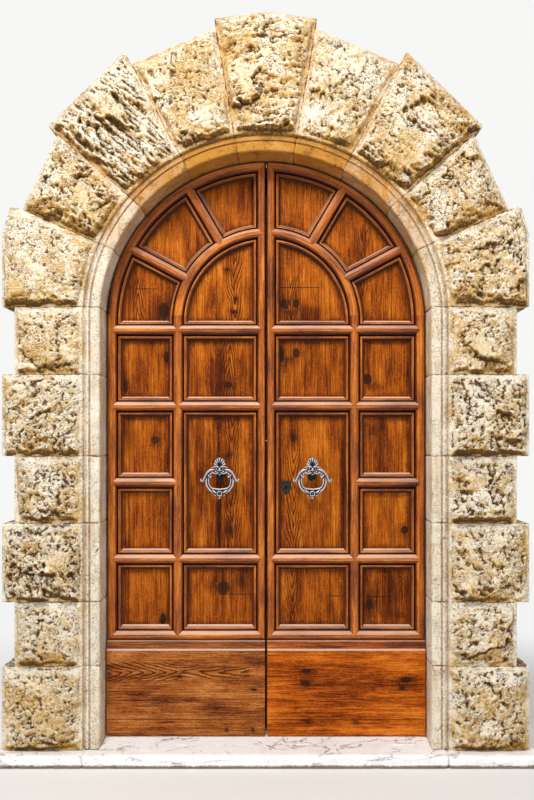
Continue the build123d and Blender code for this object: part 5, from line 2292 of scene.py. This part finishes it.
@dataclass
class Studio:
    """The floor, the lamps and the camera."""

    eye: Point = (0.06, -4.5, 1.545)
    lens: float = 40.5
    shift: tuple[float, float] = (-0.014, 0.05)
    floor_half: float = 9.0
    floor_level: float = -0.0005
    ground: Colour = (0.93, 0.93, 0.92)
    sky: Colour = (0.96, 0.98, 1.0)
    sky_strength: float = 0.34
    lamps: tuple[Lamp, ...] = (
        Lamp("key", (-0.9, -3.9, 6.2), (0.1, 0.0, 1.5), (2.2, 1.8), 385, (1.0, 0.98, 0.95)),
        Lamp("fill", (3.6, -4.6, 1.6), (0.0, 0.0, 1.3), (3.0, 2.6), 50, (0.97, 0.98, 1.0)),
        Lamp("low", (-2.6, -4.4, 1.2), (0.0, 0.0, 0.9), (2.6, 2.0), 32, (1.0, 0.99, 0.97)),
        Lamp("rear", (0.5, 4.8, 4.2), (0.0, 0.0, 1.7), (3.4, 2.6), 140),
    )

    def _world(self) -> None:
        """Light from all round, and a pale ground behind the object."""
        world = bpy.data.worlds.new("daylight")
        world.use_nodes = True
        tree = world.node_tree
        tree.nodes.clear()
        path = tree.nodes.new("ShaderNodeLightPath")
        seen = tree.nodes.new("ShaderNodeBackground")
        seen.inputs["Color"].default_value = (*self.ground, 1.0)
        soft = tree.nodes.new("ShaderNodeBackground")
        soft.inputs["Color"].default_value = (*self.sky, 1.0)
        soft.inputs["Strength"].default_value = self.sky_strength
        choose = tree.nodes.new("ShaderNodeMixShader")
        out = tree.nodes.new("ShaderNodeOutputWorld")
        wanted = path.outputs["Is Camera Ray"]
        for ray in ("Is Glossy Ray", "Is Transmission Ray"):
            either = tree.nodes.new("ShaderNodeMath")
            either.operation = "MAXIMUM"
            tree.links.new(wanted, either.inputs[0])
            tree.links.new(path.outputs[ray], either.inputs[1])
            wanted = either.outputs[0]
        tree.links.new(wanted, choose.inputs[0])
        tree.links.new(soft.outputs[0], choose.inputs[1])
        tree.links.new(seen.outputs[0], choose.inputs[2])
        tree.links.new(choose.outputs[0], out.inputs["Surface"])
        bpy.context.scene.world = world

    def build(self) -> None:
        """Set the floor, the lamps, the world and the camera."""
        mesh = bpy.data.meshes.new("floor")
        half = self.floor_half
        corners = [(-half, -half, 0), (half, -half, 0), (half, half, 0), (-half, half, 0)]
        mesh.from_pydata(corners, [], [(0, 1, 2, 3)])
        floor = add_object("floor", mesh)
        floor.location.z = self.floor_level
        mesh.materials.append(Pale("pale_floor").material())
        for lamp in self.lamps:
            lamp.hang()
        self._world()
        camera = bpy.data.cameras.new("camera")
        camera.lens = self.lens
        camera.sensor_width = 36.0
        camera.shift_x, camera.shift_y = self.shift
        eye = add_object("camera", camera)
        eye.location = self.eye
        eye.rotation_euler = (math.pi / 2, 0.0, 0.0)
        bpy.context.scene.camera = eye
        bpy.context.scene.view_settings.view_transform = "Standard"


def main() -> None:
    """Build the door's look round the loaded frame."""
    logging.basicConfig(level=logging.INFO, format="%(name)s: %(message)s")
    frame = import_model()
    Surround().build()
    for side in Side:
        Leaf(side, frame).build()
    Slabs(frame).build()
    Felt().build()
    Ironwork(frame).build()
    Studio().build()


if __name__ == "__main__":
    main()
